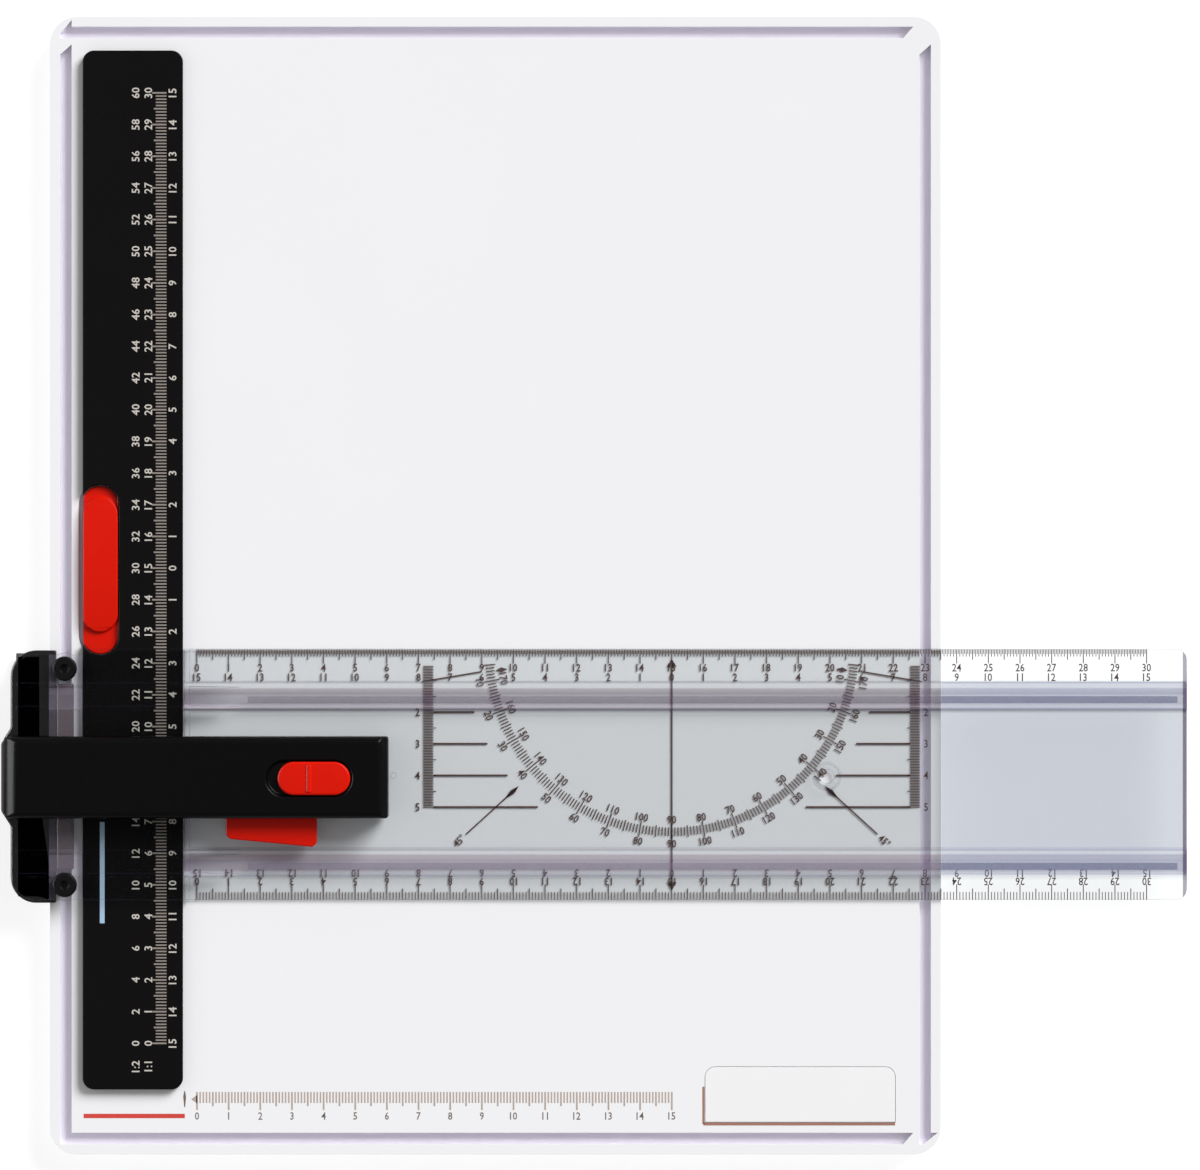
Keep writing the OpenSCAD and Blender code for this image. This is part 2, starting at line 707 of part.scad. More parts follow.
module handle_shell() {
    color([0.1, 0.1, 0.1]) on_rule() difference() {
        union() {
            difference() {
                intersection() {
                    handle_solid(0, 0);
                    // Small chamfers on the two left corners
                    translate([0, 0, foot_h]) linear_extrude(handle_top) polygon([
                        [hx0 + 2, hy + handle_w / 2], [hx0, hy + handle_w / 2 - 2],
                        [hx0, hy - handle_w / 2 + 2], [hx0 + 2, hy - handle_w / 2],
                        [hx1, hy - handle_w / 2], [hx1, hy + handle_w / 2]]);
                }
                handle_solid(wall, roof);
                // Open underside
                block([hx0 + wall, hy - handle_w / 2 + wall, bridge_top - 1],
                    [step_x + wall, hy + handle_w / 2 - wall, bridge_top + 3]);
                block([step_x - 0.1, hy - handle_w / 2 + wall, window_z - 1],
                    [hx1 - wall, hy + handle_w / 2 - wall, bridge_top + 3]);
            }
            // Screw bosses under the roof
            for (y = screw_left_ys) translate([screw_x, y, base_top + 0.05])
                cylinder(d = 4.6, h = roof_z - base_top);
            for (y = screw_right_ys) translate([screw_right_x, y, low_top + 0.05])
                cylinder(d = 4.6, h = roof_z - low_top);
        }
        for (y = screw_left_ys) translate([screw_x, y, base_top - 1]) cylinder(d = 2, h = 5);
        for (y = screw_right_ys) translate([screw_right_x, y, low_top - 1]) cylinder(d = 2, h = 7);
        // Window for the lever
        block([lever_x0 - 0.5, hy - handle_w / 2 - 1, lever_z - gap],
            [lever_x0 + lever_w + 1.8, hy - handle_w / 2 + wall + 1, lever_z + lever_t + gap]);
        // Track of the lock button, and the slot for its stem
        translate([lock_x - lock_travel / 2, lock_y, lock_floor]) linear_extrude(3) rotate(90)
            stadium(lock_w + 2 * gap, lock_l + lock_travel + 2 * gap);
        block([lock_x - stem[0] / 2 - lock_travel - gap, lock_y - stem[1] / 2 - gap, roof_z - 1],
            [lock_x + stem[0] / 2 + gap, lock_y + stem[1] / 2 + gap, handle_top]);
    }
}

module handle_base() {
    h = handle_w / 2 - wall - fit;
    x0 = hx0 + wall + fit;
    step = step_x + wall;
    color("dimgray") on_rule() difference() {
        union() {
            translate([0, hy + h, 0]) rotate([90, 0, 0]) linear_extrude(2 * h)
                polygon([[x0, bridge_top + fit], [step - wall, bridge_top + fit], [step - wall, window_z + fit],
                    [hx1 - wall - fit, window_z + fit], [hx1 - wall - fit, low_top],
                    [step, low_top], [step, base_top], [x0, base_top]]);
            // Bulkheads that carry the push rod
            for (x = bulk_x) block([x, shoe_y - 4, base_top - eps], [x + bulk_t, shoe_y + 4, roof_z - 0.4]);
            translate([lever_px, lever_py, low_top - eps]) cylinder(d = 6, h = lever_z - low_top - 0.1);
        }
        for (x = bulk_x) bar_along_x(rod_d + 2 * run, x - 1, x + bulk_t + 1, shoe_y, rod_z);
        shoe_slot(bridge_top - 1, base_t + 2);
        for (y = screw_left_ys) translate([screw_x, y, bridge_top - 1]) cylinder(d = 2.2, h = 4);
        for (y = screw_right_ys) translate([screw_right_x, y, window_z - 1]) cylinder(d = 2.2, h = 4);
        translate([lever_px, lever_py, window_z + 0.6]) cylinder(d = lever_pin_d, h = 9);
    }
}

module handle_screws() {
    color("silver") on_rule() {
        for (y = screw_left_ys) translate([screw_x, y, 0]) screw(screw_d, bar_z, base_top + 3.5 - bar_z);
        for (y = screw_right_ys) translate([screw_right_x, y, 0])
            screw(screw_d, blade_z, low_top + 5 - blade_z);
    }
}

module lever_pin() {
    color("silver") on_rule() translate([lever_px, lever_py, window_z + 0.6])
        cylinder(d = lever_pin_d, h = roof_z - window_z - 0.7);
}

// Coil round the push rod, a six-sided wire swept along a helix
module brake_spring() {
    x0 = bulk_x[0] + bulk_t + 0.1;
    x1 = collar_x - 0.1;
    wire = 0.25;
    mean = 1.85;
    turns = 7;
    steps = 18;
    sides = 6;
    n = turns * steps;
    pitch = (x1 - x0 - 2 * wire) / n;
    pts = [for (i = [0:n], k = [0:sides - 1])
        let (a = 360 * i / steps, b = 360 * k / sides, r = mean + wire * cos(b))
        [x0 + wire + i * pitch + wire * sin(b), shoe_y + r * cos(a), rod_z + r * sin(a)]];
    walls = [for (i = [0:n - 1], k = [0:sides - 1]) let (m = (k + 1) % sides)
        [i * sides + k, i * sides + m, (i + 1) * sides + m, (i + 1) * sides + k]];
    color("silver") on_rule() polyhedron(pts, concat([[for (k = [sides - 1:-1:0]) k]],
        walls, [[for (k = [0:sides - 1]) n * sides + k]]));
}

// ---------------------------------------------------------------- release

module release_lever() {
    edge = hy - handle_w / 2;
    x1 = lever_x0 + lever_w;
    r = 1.3;
    tip = lever_py + lever_arm;
    color("red") on_rule() difference() {
        union() {
            translate([0, 0, lever_z]) linear_extrude(lever_t) {
                polygon([[lever_x0, lever_py], [lever_x0, edge - lever_out + r],
                    [lever_x0 + r, edge - lever_out], [x1 - r, edge - lever_out - lever_rake],
                    [x1, edge - lever_out - lever_rake + r], [x1, lever_py + 0.7], [lever_px, lever_py + 2.5]]);
                translate([lever_px, lever_py]) circle(3);
                translate([lever_px - 1.2, lever_py]) square([2.4, lever_arm]);
            }
            translate([lever_px, tip, lever_z]) cylinder(d = 3, h = rod_z + 1.5 - lever_z);
            translate([post_x, post_y, lever_z + lever_t - eps])
                cylinder(d = post_d, h = roof_z - clip_t - 0.5 - lever_z - lever_t);
        }
        translate([lever_px, lever_py, lever_z - 1]) cylinder(d = lever_pin_d + 2 * run, h = lever_t + 2);
    }
}

module push_rod() {
    color("silver") on_rule() {
        bar_along_x(rod_d, shoe_x0 - 0.2, lever_px - 1.5 - 0.05, shoe_y, rod_z);
        bar_along_x(collar_d, collar_x, collar_x + 1, shoe_y, rod_z);
    }
}

module brake_shoe() {
    color("dimgray") on_rule() difference() {
        union() {
            block([shoe_x0, head_dy - pocket_l / 2 + 1, bar_z + 1.7],
                [shoe_x1, head_dy + pocket_l / 2 - 1, top_z + 1]);
            block([shoe_x0, shoe_y - shoe_post / 2, top_z], [shoe_x1, shoe_y + shoe_post / 2, rod_z + 2]);
        }
        bar_along_x(rod_d, shoe_x0 - 1, shoe_x1 + 1, shoe_y, rod_z);
    }
}

module brake_pads() {
    color("black") on_rule() for (y = pad_ys)
        block([shoe_x1, y - brake_pad_l / 2, brake_pad_z],
            [left - 0.05, y + brake_pad_l / 2, brake_pad_z + brake_pad_h]);
}

// ---------------------------------------------------------------- lock

module lock_button() {
    color("red") on_rule() {
        translate([lock_x, lock_y, lock_floor + 0.1]) rotate(90) linear_extrude(1.7)
            stadium(lock_w, lock_l);
        block([lock_x - stem[0] / 2, lock_y - stem[1] / 2, roof_z - clip_t - 0.1],
            [lock_x + stem[0] / 2, lock_y + stem[1] / 2, lock_floor + 0.2]);
        bar_along_y(0.9, lock_y - lock_w / 2 + 0.8, lock_y + lock_w / 2 - 0.8, lock_x - 1.55, lock_floor + 1.75);
    }
}

// Plate that holds the button from inside, with the nose that traps the lever's post
module lock_clip() {
    z1 = roof_z - 0.1;
    x0 = post_x + post_d / 2 + 0.7;
    color("silver") on_rule() {
        difference() {
            block([lock_x - stem[0] / 2 - 1.6, nose_y - 0.75, z1 - clip_t],
                [lock_x + stem[0] / 2 + 1.6, lock_y + stem[1] / 2 + 1.6, z1]);
            block([lock_x - stem[0] / 2, lock_y - stem[1] / 2, z1 - clip_t - 1],
                [lock_x + stem[0] / 2, lock_y + stem[1] / 2, z1 + 1]);
        }
        block([x0, nose_y - 0.75, lever_z + lever_t + 0.4], [x0 + 5, nose_y + 0.75, z1 - clip_t + eps]);
    }
}

board_panel();
rubber_feet();
name_plate();
steel_strip();
hinge_blocks();
hinge_pins();
hinge_screws();
key_pin();
clamp_rail();
magnet_strip();
clamp_key();
blade();
guide_bar();
hook_plate();
hook_screws();
guide_runner();
guide_studs();
handle_shell();
handle_base();
handle_screws();
lever_pin();
brake_spring();
release_lever();
push_rod();
brake_shoe();
brake_pads();
lock_button();
lock_clip();
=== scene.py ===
"""Looks of a portable drawing board with a clamp rail and a sliding parallel rule.

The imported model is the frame. Each operator finishes one piece, or one group of like pieces:
moulded parts are softened copies of the frame's own nodes, and printed scales, serrations and
edge lines are new surfaces worked out with numpy. Lengths are in metres; MM turns millimetres
into them.
"""
import json
import math

import bmesh
import bpy
import numpy as np
from bpy.props import FloatProperty, FloatVectorProperty, PointerProperty
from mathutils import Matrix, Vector

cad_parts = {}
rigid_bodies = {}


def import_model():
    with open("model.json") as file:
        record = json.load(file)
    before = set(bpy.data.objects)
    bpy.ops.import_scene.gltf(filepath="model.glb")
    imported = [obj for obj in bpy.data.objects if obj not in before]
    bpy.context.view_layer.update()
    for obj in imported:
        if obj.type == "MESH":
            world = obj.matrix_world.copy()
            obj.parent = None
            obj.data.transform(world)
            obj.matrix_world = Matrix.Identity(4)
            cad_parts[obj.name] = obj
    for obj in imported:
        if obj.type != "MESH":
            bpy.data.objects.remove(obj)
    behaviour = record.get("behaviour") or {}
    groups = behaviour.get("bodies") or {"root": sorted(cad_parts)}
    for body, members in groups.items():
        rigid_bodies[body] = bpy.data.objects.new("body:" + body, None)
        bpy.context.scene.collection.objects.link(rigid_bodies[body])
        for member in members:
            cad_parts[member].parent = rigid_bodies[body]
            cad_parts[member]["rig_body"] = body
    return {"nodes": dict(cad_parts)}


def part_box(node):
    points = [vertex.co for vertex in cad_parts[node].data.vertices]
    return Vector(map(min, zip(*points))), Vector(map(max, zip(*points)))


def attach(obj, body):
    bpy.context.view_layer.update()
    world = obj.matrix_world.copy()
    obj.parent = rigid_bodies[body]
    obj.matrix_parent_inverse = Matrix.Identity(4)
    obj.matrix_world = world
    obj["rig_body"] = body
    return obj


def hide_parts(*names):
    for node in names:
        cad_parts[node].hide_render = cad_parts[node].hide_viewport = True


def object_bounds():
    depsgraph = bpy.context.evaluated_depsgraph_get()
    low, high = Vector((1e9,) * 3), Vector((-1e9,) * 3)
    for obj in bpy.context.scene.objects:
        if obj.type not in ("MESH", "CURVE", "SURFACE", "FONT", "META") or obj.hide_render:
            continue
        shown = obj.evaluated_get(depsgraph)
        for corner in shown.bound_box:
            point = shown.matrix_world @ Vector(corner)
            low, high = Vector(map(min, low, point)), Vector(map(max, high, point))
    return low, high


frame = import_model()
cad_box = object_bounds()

bl_info = {
    "name": "Portable drawing board",
    "version": (1, 0, 0),
    "blender": (4, 5, 0),
    "location": "3D View > Sidebar > Drawing board",
    "description": "Finishes the pieces of a drawing board with a clamp rail and a parallel rule",
    "category": "Object",
}

MM = 0.001
DEG = math.pi / 180

# ---------------------------------------------------------------- places, from the frame

board_low, board_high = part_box("board_panel")
rail_low, rail_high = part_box("clamp_rail")
blade_low, blade_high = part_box("blade")
plate_low, plate_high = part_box("name_plate")

SHEET_GAP = 0.4 * MM        # air between the board and the blade
BLADE_RIB = 2.7 * MM        # thickness of the blade at its two ribs
INK_PROUD = 0.02 * MM       # how far a print stands off its surface
INK_SUNK = 0.04 * MM        # how far it goes into it
CM = 10 * MM
SCALE_CM = 30               # length of the rail's and the blade's scales
LONG_MARK_EXTRA = 0.15      # how much wider a scale's longer marks are
BOLDNESS = 0.012            # how far a number's outline is spread, in its own heights

SAME_POINT = 0.002 * MM     # points of a CAD mesh closer than this are merged
FLAT_TURN = 0.6 * DEG       # faces that meet at less than this are joined
EDGE_TURN = 32 * DEG        # edges that turn by more than this are rounded

rule_y = (blade_low.y + blade_high.y) / 2
rule_half = (blade_high.y - blade_low.y) / 2
under_blade = board_high.z + SHEET_GAP
scale_x = rail_high.x + 4.4 * MM
bevel_x = rail_high.x + 0.5 * MM


def srgb(red, green, blue):
    """Linear colour of an sRGB one given as 0 to 255."""
    value = np.array([red, green, blue]) / 255
    linear = np.where(value <= 0.04045, value / 12.92, ((value + 0.055) / 1.055) ** 2.4)
    return tuple(float(v) for v in linear)


# ---------------------------------------------------------------- sizes and colours

def colour(name, description, red, green, blue):
    """A colour setting whose default is an sRGB colour."""
    return FloatVectorProperty(name=name, description=description, subtype="COLOR",
                               size=3, min=0, max=1, default=srgb(red, green, blue))


def length(name, description, millimetres):
    """A length setting whose default is in millimetres."""
    return FloatProperty(name=name, description=description, subtype="DISTANCE",
                         unit="LENGTH", min=0, precision=5, default=millimetres * MM)


def angle(name, description, degrees):
    """An angle setting whose default is in degrees."""
    return FloatProperty(name=name, description=description, subtype="ANGLE",
                         unit="ROTATION", default=degrees * DEG)


def amount(name, description, default):
    """A plain number setting."""
    return FloatProperty(name=name, description=description, min=0, default=default)


class BoardSettings(bpy.types.PropertyGroup):
    """Sizes and colours of the board, its plate and its feet."""

    surface: colour("Surface", "Matte plastic of the board", 240, 240, 242)
    # Painted shade: this mauve tint on the grooves' walls and floor stands in for the shade that
    # falls in them.
    groove: colour("Groove", "Tint of the guide grooves' walls and floor", 237, 233, 243)
    plate: colour("Plate", "Plastic of the name plate", 243, 243, 244)
    ink: colour("Ink", "Ink of the numbers along the board's lower edge", 104, 88, 80)
    marks: colour("Marks", "Ink of the millimetre marks along that edge", 176, 158, 146)
    # The plate's two lines are partly print and partly painted shadow: they lie along its left and
    # lower edges, where its shadow falls.
    lines: colour("Lines", "Ink of the two lines by the name plate", 158, 110, 92)
    stripe: colour("Stripe", "Ink of the stripe at the lower left", 206, 42, 24)
    rounding: length("Edge rounding", "Largest radius of the board's moulded edges", 0.3)
    number_height: length("Number height", "Height of the scale's numbers", 2.4)


class ClampSettings(bpy.types.PropertyGroup):
    """Sizes and colours of the clamp rail and its key."""

    rail: colour("Rail", "Textured plastic of the rail", 9, 7, 8)
    ink: colour("Ink", "Ink of the rail's numbers", 196, 190, 182)
    marks: colour("Marks", "Ink of the rail's millimetre marks", 136, 126, 118)
    badge: colour("Badge", "Ink of the plain bar near the rail's lower end", 160, 190, 214)
    key: colour("Key", "Plastic of the key, the lever and the lock button", 214, 20, 0)
    rounding: length("Edge rounding", "Radius of the rail's edges", 0.35)
    zero: length("Scale start", "From the rail's lower end to the zero of its scales", 14.6)
    number_height: length("Number height", "Height of the scales' numbers", 2.5)


class RuleSettings(bpy.types.PropertyGroup):
    """Sizes and colours of the clear blade, its prints and its head."""

    tint: colour("Tint", "What each surface of the clear plastic lets through", 252, 253, 253)
    ink: colour("Ink", "Ink of the blade's scales", 78, 50, 44)
    bar: colour("Guide bar", "Glossy plastic of the guide bar", 24, 21, 22)
    runner: colour("Runner", "Plastic of the strip that runs in the groove", 74, 58, 54)
    rounding: length("Edge rounding", "Radius of the blade's edges", 0.3)
    number_height: length("Number height", "Height of the blade's numbers", 2.5)
    tooth: length("Serration pitch", "Pitch of the serrations along the ribs", 0.85)
    protractor: length("Protractor radius", "Middle of the one-degree marks", 57.75)


class HandleSettings(bpy.types.PropertyGroup):
    """Sizes and colours of the handle."""

    shell: colour("Shell", "Satin plastic of the handle", 6, 5, 5)
    inner: colour("Inner parts", "Plastic of the base and of the brake", 66, 64, 66)
    rounding: length("Edge rounding", "Radius of the handle's edges", 0.8)


class StageSettings(bpy.types.PropertyGroup):
    """Camera, floor and lights."""

    distance: length("Camera distance", "Height of the camera over the board", 3000)
    view_width: length("View width", "What the picture spans from side to side", 379.14)
    floor: colour("Floor", "Plain pale floor", 152, 152, 153)
    sun_height: angle("Light elevation", "Angle of the main light over the floor", 36)
    sun_turn: angle("Light direction", "Turn of the main light from +X", 45)
    sun_size: angle("Light size", "Angle that the main light spans", 32)
    sun_strength: amount("Light strength", "Strength of the main light", 3.6)
    sky_strength: amount("Sky strength", "Strength of the even light", 0.33)
    side_power: amount("Side power", "Power of the panel to the left", 75.0)


SETTINGS = {
    "board_settings": BoardSettings,
    "clamp_settings": ClampSettings,
    "rule_settings": RuleSettings,
    "handle_settings": HandleSettings,
    "stage_settings": StageSettings,
}


# ---------------------------------------------------------------- shader maths

class Socket:
    """A number, colour or vector in a node tree. Operators on a number add Math nodes."""

    def __init__(self, finish, link):
        self.finish = finish
        self.link = link

    def maths(self, operation, first, second):
        """Math node of two values."""
        settings = {"operation": operation}
        return self.finish.node("ShaderNodeMath", settings, {0: first, 1: second})

    def __add__(self, other):
        return self.maths("ADD", self, other)

    def __radd__(self, other):
        return self.maths("ADD", other, self)

    def __sub__(self, other):
        return self.maths("SUBTRACT", self, other)

    def __rsub__(self, other):
        return self.maths("SUBTRACT", other, self)

    def __mul__(self, other):
        return self.maths("MULTIPLY", self, other)

    def __truediv__(self, other):
        return self.maths("DIVIDE", self, other)

    def __gt__(self, other):
        return self.maths("GREATER_THAN", self, other)

    def __lt__(self, other):
        return self.maths("LESS_THAN", self, other)

    def between(self, low, high):
        """1 where the value is between low and high."""
        return (self > low) * (self < high)


class Finish:
    """A material while it is put together; node() makes all of its nodes."""

    def __init__(self, name):
        self.material = bpy.data.materials.new(name)
        self.material.use_nodes = True
        self.tree = self.material.node_tree
        self.tree.nodes.clear()

    def node(self, kind, settings=None, values=None, output=0):
        """Adds a node: first its settings or a ramp's stops, then its sockets' values or links."""
        made = self.tree.nodes.new(kind)
        for key, value in (settings or {}).items():
            if key == "stops":
                self.set_stops(made.color_ramp, value)
            else:
                setattr(made, key, value)
        for key, value in (values or {}).items():
            if isinstance(value, Socket):
                self.tree.links.new(value.link, made.inputs[key])
            elif isinstance(value, tuple) and len(value) == 3 and made.inputs[key].type == "RGBA":
                made.inputs[key].default_value = (*value, 1)
            else:
                made.inputs[key].default_value = value
        if output is None:
            return None
        return Socket(self, made.outputs[output])

    @staticmethod
    def set_stops(ramp, stops):
        """Stops of a colour ramp as (position, colour, alpha)."""
        while len(ramp.elements) < len(stops):
            ramp.elements.new(1.0)
        for element, (position, shade, alpha) in zip(ramp.elements, stops):
            element.position = position
            element.color = (*shade, alpha)

    def place(self):
        """Object coordinates."""
        return self.node("ShaderNodeTexCoord", output="Object")

    def axes(self):
        """X, Y and Z of the object coordinates."""
        where = self.place()
        return [self.node("ShaderNodeSeparateXYZ", values={0: where}, output=i) for i in range(3)]

    def noise(self, where, size, detail=3.0):
        """Noise with features of that size in metres, from 0 to 1."""
        return self.node("ShaderNodeTexNoise", values={
            "Vector": where, "Scale": 1 / size, "Detail": detail})

    def mix(self, factor, first, second):
        """Colour between first and second."""
        return self.node("ShaderNodeMix", {"data_type": "RGBA"},
                         {0: factor, 6: first, 7: second}, output=2)

    def bump(self, height, depth):
        """Normal of a surface whose height varies by depth."""
        return self.node("ShaderNodeBump", values={"Height": height, "Distance": depth})

    def principled(self, **values):
        """Principled shader; a keyword's underscores stand for spaces."""
        named = {key.replace("_", " "): value for key, value in values.items()}
        return self.node("ShaderNodeBsdfPrincipled", values=named)

    def finished(self, surface):
        """Ends the material with its surface."""
        self.node("ShaderNodeOutputMaterial", values={"Surface": surface}, output=None)
        return self.material


def scaled(shade, factor):
    """A linear colour made lighter or darker."""
    return tuple(min(1.0, v * factor) for v in shade)


CLOUD_SIZE = 22 * MM        # features of the cloudiness that moulded pieces have
ROUGHNESS_SPREAD = 0.16     # how far the grain varies their roughness
RIM_WIDTH = 1.2 * MM        # from the board's edges to where the painted shade of its grooves may start
GROOVE_REACH = 3.6 * MM     # the painted groove shade reaches this far under the board's face
GROOVE_LIP = 0.25 * MM      # and starts this far under it


def moulded(name, shade, roughness, grain, relief, mottle=0.05, metallic=0.0, shine=0.5,
            stretch=None):
    """Moulded plastic, rubber or metal: a little cloudiness of colour over centimetres, and a grain
    that varies the roughness and raises the surface."""
    finish = Finish(name)
    where = finish.place()
    if stretch:
        where = finish.node("ShaderNodeMapping", values={"Vector": where, "Scale": stretch},
                            output="Vector")
    cloud = finish.noise(where, CLOUD_SIZE)
    fine = finish.noise(where, grain)
    base = finish.mix(cloud, scaled(shade, 1 - mottle), scaled(shade, 1 + mottle))
    return finish.finished(finish.principled(
        Base_Color=base, Metallic=metallic, Specular_IOR_Level=shine,
        Roughness=roughness + (fine - 0.5) * ROUGHNESS_SPREAD, Normal=finish.bump(fine, relief)))


def board_finish(settings):
    """Pale matte plastic whose grooves, inside the board's edges and under its face, get a darker
    mauve tint as painted shade.
    """
    finish = Finish("board_plastic")
    where = finish.place()
    x, y, z = finish.axes()
    inside = (x.between(board_low.x + RIM_WIDTH, board_high.x - RIM_WIDTH)
              * y.between(board_low.y + RIM_WIDTH, board_high.y - RIM_WIDTH))
    groove_shade_depth = z.between(board_high.z - GROOVE_REACH, board_high.z - GROOVE_LIP)
    cloud = finish.noise(where, 45 * MM)
    fine = finish.noise(where, 0.35 * MM)
    base = finish.mix(cloud, scaled(settings.surface, 0.985), scaled(settings.surface, 1.01))
    # painted shade: the recessed grooves get the darker mauve tint
    base = finish.mix(inside * groove_shade_depth, base, settings.groove[:])
    return finish.finished(finish.principled(
        Base_Color=base, Roughness=0.5 + (fine - 0.5) * 0.14,
        Normal=finish.bump(fine, 0.012 * MM)))


# Across the blade, the plastic's tint and painted refraction and reflection: purple bands over the
# ribs and dark and pale lines along their flanks. (distance from its middle in mm, sRGB colour of
# the hazy shader, how much of it)
BLADE_TINT_AND_REFRACTION_BANDS = [
    (-40.0, (120, 126, 140), 0.05), (-39.2, (150, 160, 170), 0.006),
    (-32.3, (150, 160, 170), 0.006), (-32.1, (120, 120, 160), 0.13),
    (-31.7, (120, 120, 160), 0.13), (-31.5, (228, 224, 242), 0.1),
    (-30.6, (228, 224, 242), 0.1), (-30.4, (142, 122, 152), 0.19),
    (-27.5, (144, 124, 154), 0.19), (-27.3, (110, 96, 138), 0.22),
    (-26.9, (110, 96, 138), 0.22), (-26.7, (150, 118, 142), 0.19),
    (-25.2, (144, 116, 138), 0.19), (-25.0, (234, 238, 246), 0.05),
    (-24.2, (234, 238, 246), 0.05), (-24.0, (110, 112, 126), 0.15),
    (-23.7, (110, 112, 126), 0.15), (-23.4, (80, 90, 112), 0.012),
    (20.1, (80, 90, 112), 0.012), (20.4, (70, 60, 86), 0.32),
    (20.9, (70, 60, 86), 0.32), (21.2, (234, 214, 236), 0.13),
    (22.0, (234, 214, 236), 0.13), (22.2, (112, 90, 120), 0.17),
    (25.2, (122, 100, 128), 0.15), (25.5, (98, 78, 98), 0.24),
    (27.2, (130, 104, 124), 0.17), (27.5, (238, 236, 244), 0.05),
    (28.7, (238, 236, 244), 0.05), (29.0, (110, 108, 120), 0.16),
    (29.4, (110, 108, 120), 0.16), (29.7, (150, 160, 170), 0.006),
]


# The blade between its two pale drawing edges, from its middle
BLADE_INNER = (-31.6 * MM, 29.3 * MM)
CUT_END = 1.2 * MM          # length of the blade's cut end, painted darker as painted refraction

HEAD_HAZE = srgb(16, 12, 14)         # haze of the head plate
LAND_HAZE = srgb(190, 180, 204)      # over the board's pale edge, left of the rail
BEYOND_HAZE = srgb(130, 140, 175)    # past the board's other edge
PAINTED_SLANT_REFRACTION = srgb(104, 90, 122)      # painted refraction: a darker purple on slanting faces and at the cut end

HEAD_SHARE = 0.05           # how much of the blade's haze the head plate has
LAND_SHARE = 0.3            # how much more of it over the board's edge
LAND_COVER = 0.05           # and what is added there
BEYOND_COVER = 0.24         # what is added past the board's other edge
SLANT_COVER = 0.45          # what painted refraction adds on upright faces
END_COVER = 0.4             # and at the cut end
HEAD_SLANT = 0.3            # how much of these two the head plate has
SHEEN = 0.3                 # how much haze a grazing view adds


def clear_finish(settings):
    """Clear plastic: a tinted see-through shader mixed with a hazy one, whose colour carries
    painted refraction and reflection: purple bands and dark and pale lines over the ribs, and a
    darker purple on slanting faces and at the cut end. How much of the hazy shader there is
    follows the distance from the blade's middle, the place along it, how far a face tilts from
    level, and the angle of the view."""
    finish = Finish("clear_plastic")
    x, y, _ = finish.axes()
    first = BLADE_TINT_AND_REFRACTION_BANDS[0][0]
    span = BLADE_TINT_AND_REFRACTION_BANDS[-1][0] - first
    across = ((y - rule_y) / MM - first) / span
    # Painted refraction and reflection: the table's purple bands and dark and pale lines over the
    # ribs go into the hazy shader's colour and amount.
    stops = [((v - first) / span, srgb(*shade), alpha) for v, shade, alpha in BLADE_TINT_AND_REFRACTION_BANDS]
    haze_and_refraction, band = [finish.node("ShaderNodeValToRGB", {"stops": stops}, {"Fac": across}, output=name)
                  for name in ("Color", "Alpha")]
    on_blade = x > bevel_x
    over_land = x.between(board_low.x, rail_low.x)
    beyond = (x > board_high.x) * (y - rule_y).between(*BLADE_INNER)
    at_end = x > blade_high.x - CUT_END
    tilt = finish.node("ShaderNodeAttribute", {"attribute_name": "tilt"}, output="Fac")
    share = on_blade + (1 - on_blade) * (HEAD_SHARE + over_land * LAND_SHARE)
    cover = beyond * BEYOND_COVER + band * share + over_land * LAND_COVER
    # Painted refraction: slanting faces and the cut end get more of a darker purple.
    slant = ((tilt * SLANT_COVER + at_end * END_COVER)
             * (on_blade * (1 - HEAD_SLANT) + HEAD_SLANT))
    haze_and_refraction = finish.mix(on_blade, HEAD_HAZE, haze_and_refraction)
    haze_and_refraction = finish.mix(over_land, haze_and_refraction, LAND_HAZE)
    haze_and_refraction = finish.mix(beyond * 0.8, haze_and_refraction, BEYOND_HAZE)
    haze_and_refraction = finish.mix(tilt * 0.9 + at_end, haze_and_refraction, PAINTED_SLANT_REFRACTION)
    grazing = finish.node("ShaderNodeLayerWeight", values={"Blend": 0.3}, output="Fresnel")
    body = finish.principled(Base_Color=haze_and_refraction, Roughness=0.12)
    glass = finish.node("ShaderNodeBsdfTransparent", values={"Color": settings.tint[:]})
    factor = cover + slant + (1 - cover - slant) * grazing * SHEEN
    mixed = finish.node("ShaderNodeMixShader", values={0: factor, 1: glass, 2: body})
    return finish.finished(mixed)


def steel_finish():
    """Bright zinc-plated steel, drawn along X: a grain stretched along the drawing."""
    return moulded("steel", srgb(200, 200, 203), roughness=0.3, grain=0.25 * MM, relief=0.004 * MM,
                   metallic=1.0, stretch=(0.08, 1.0, 1.0))


def ink_finish(name, shade):
    """Screen-printed ink, a little uneven in density."""
    return moulded(name, shade, roughness=0.6, grain=0.3 * MM, relief=0.003 * MM, mottle=0.12)


finishes = {}


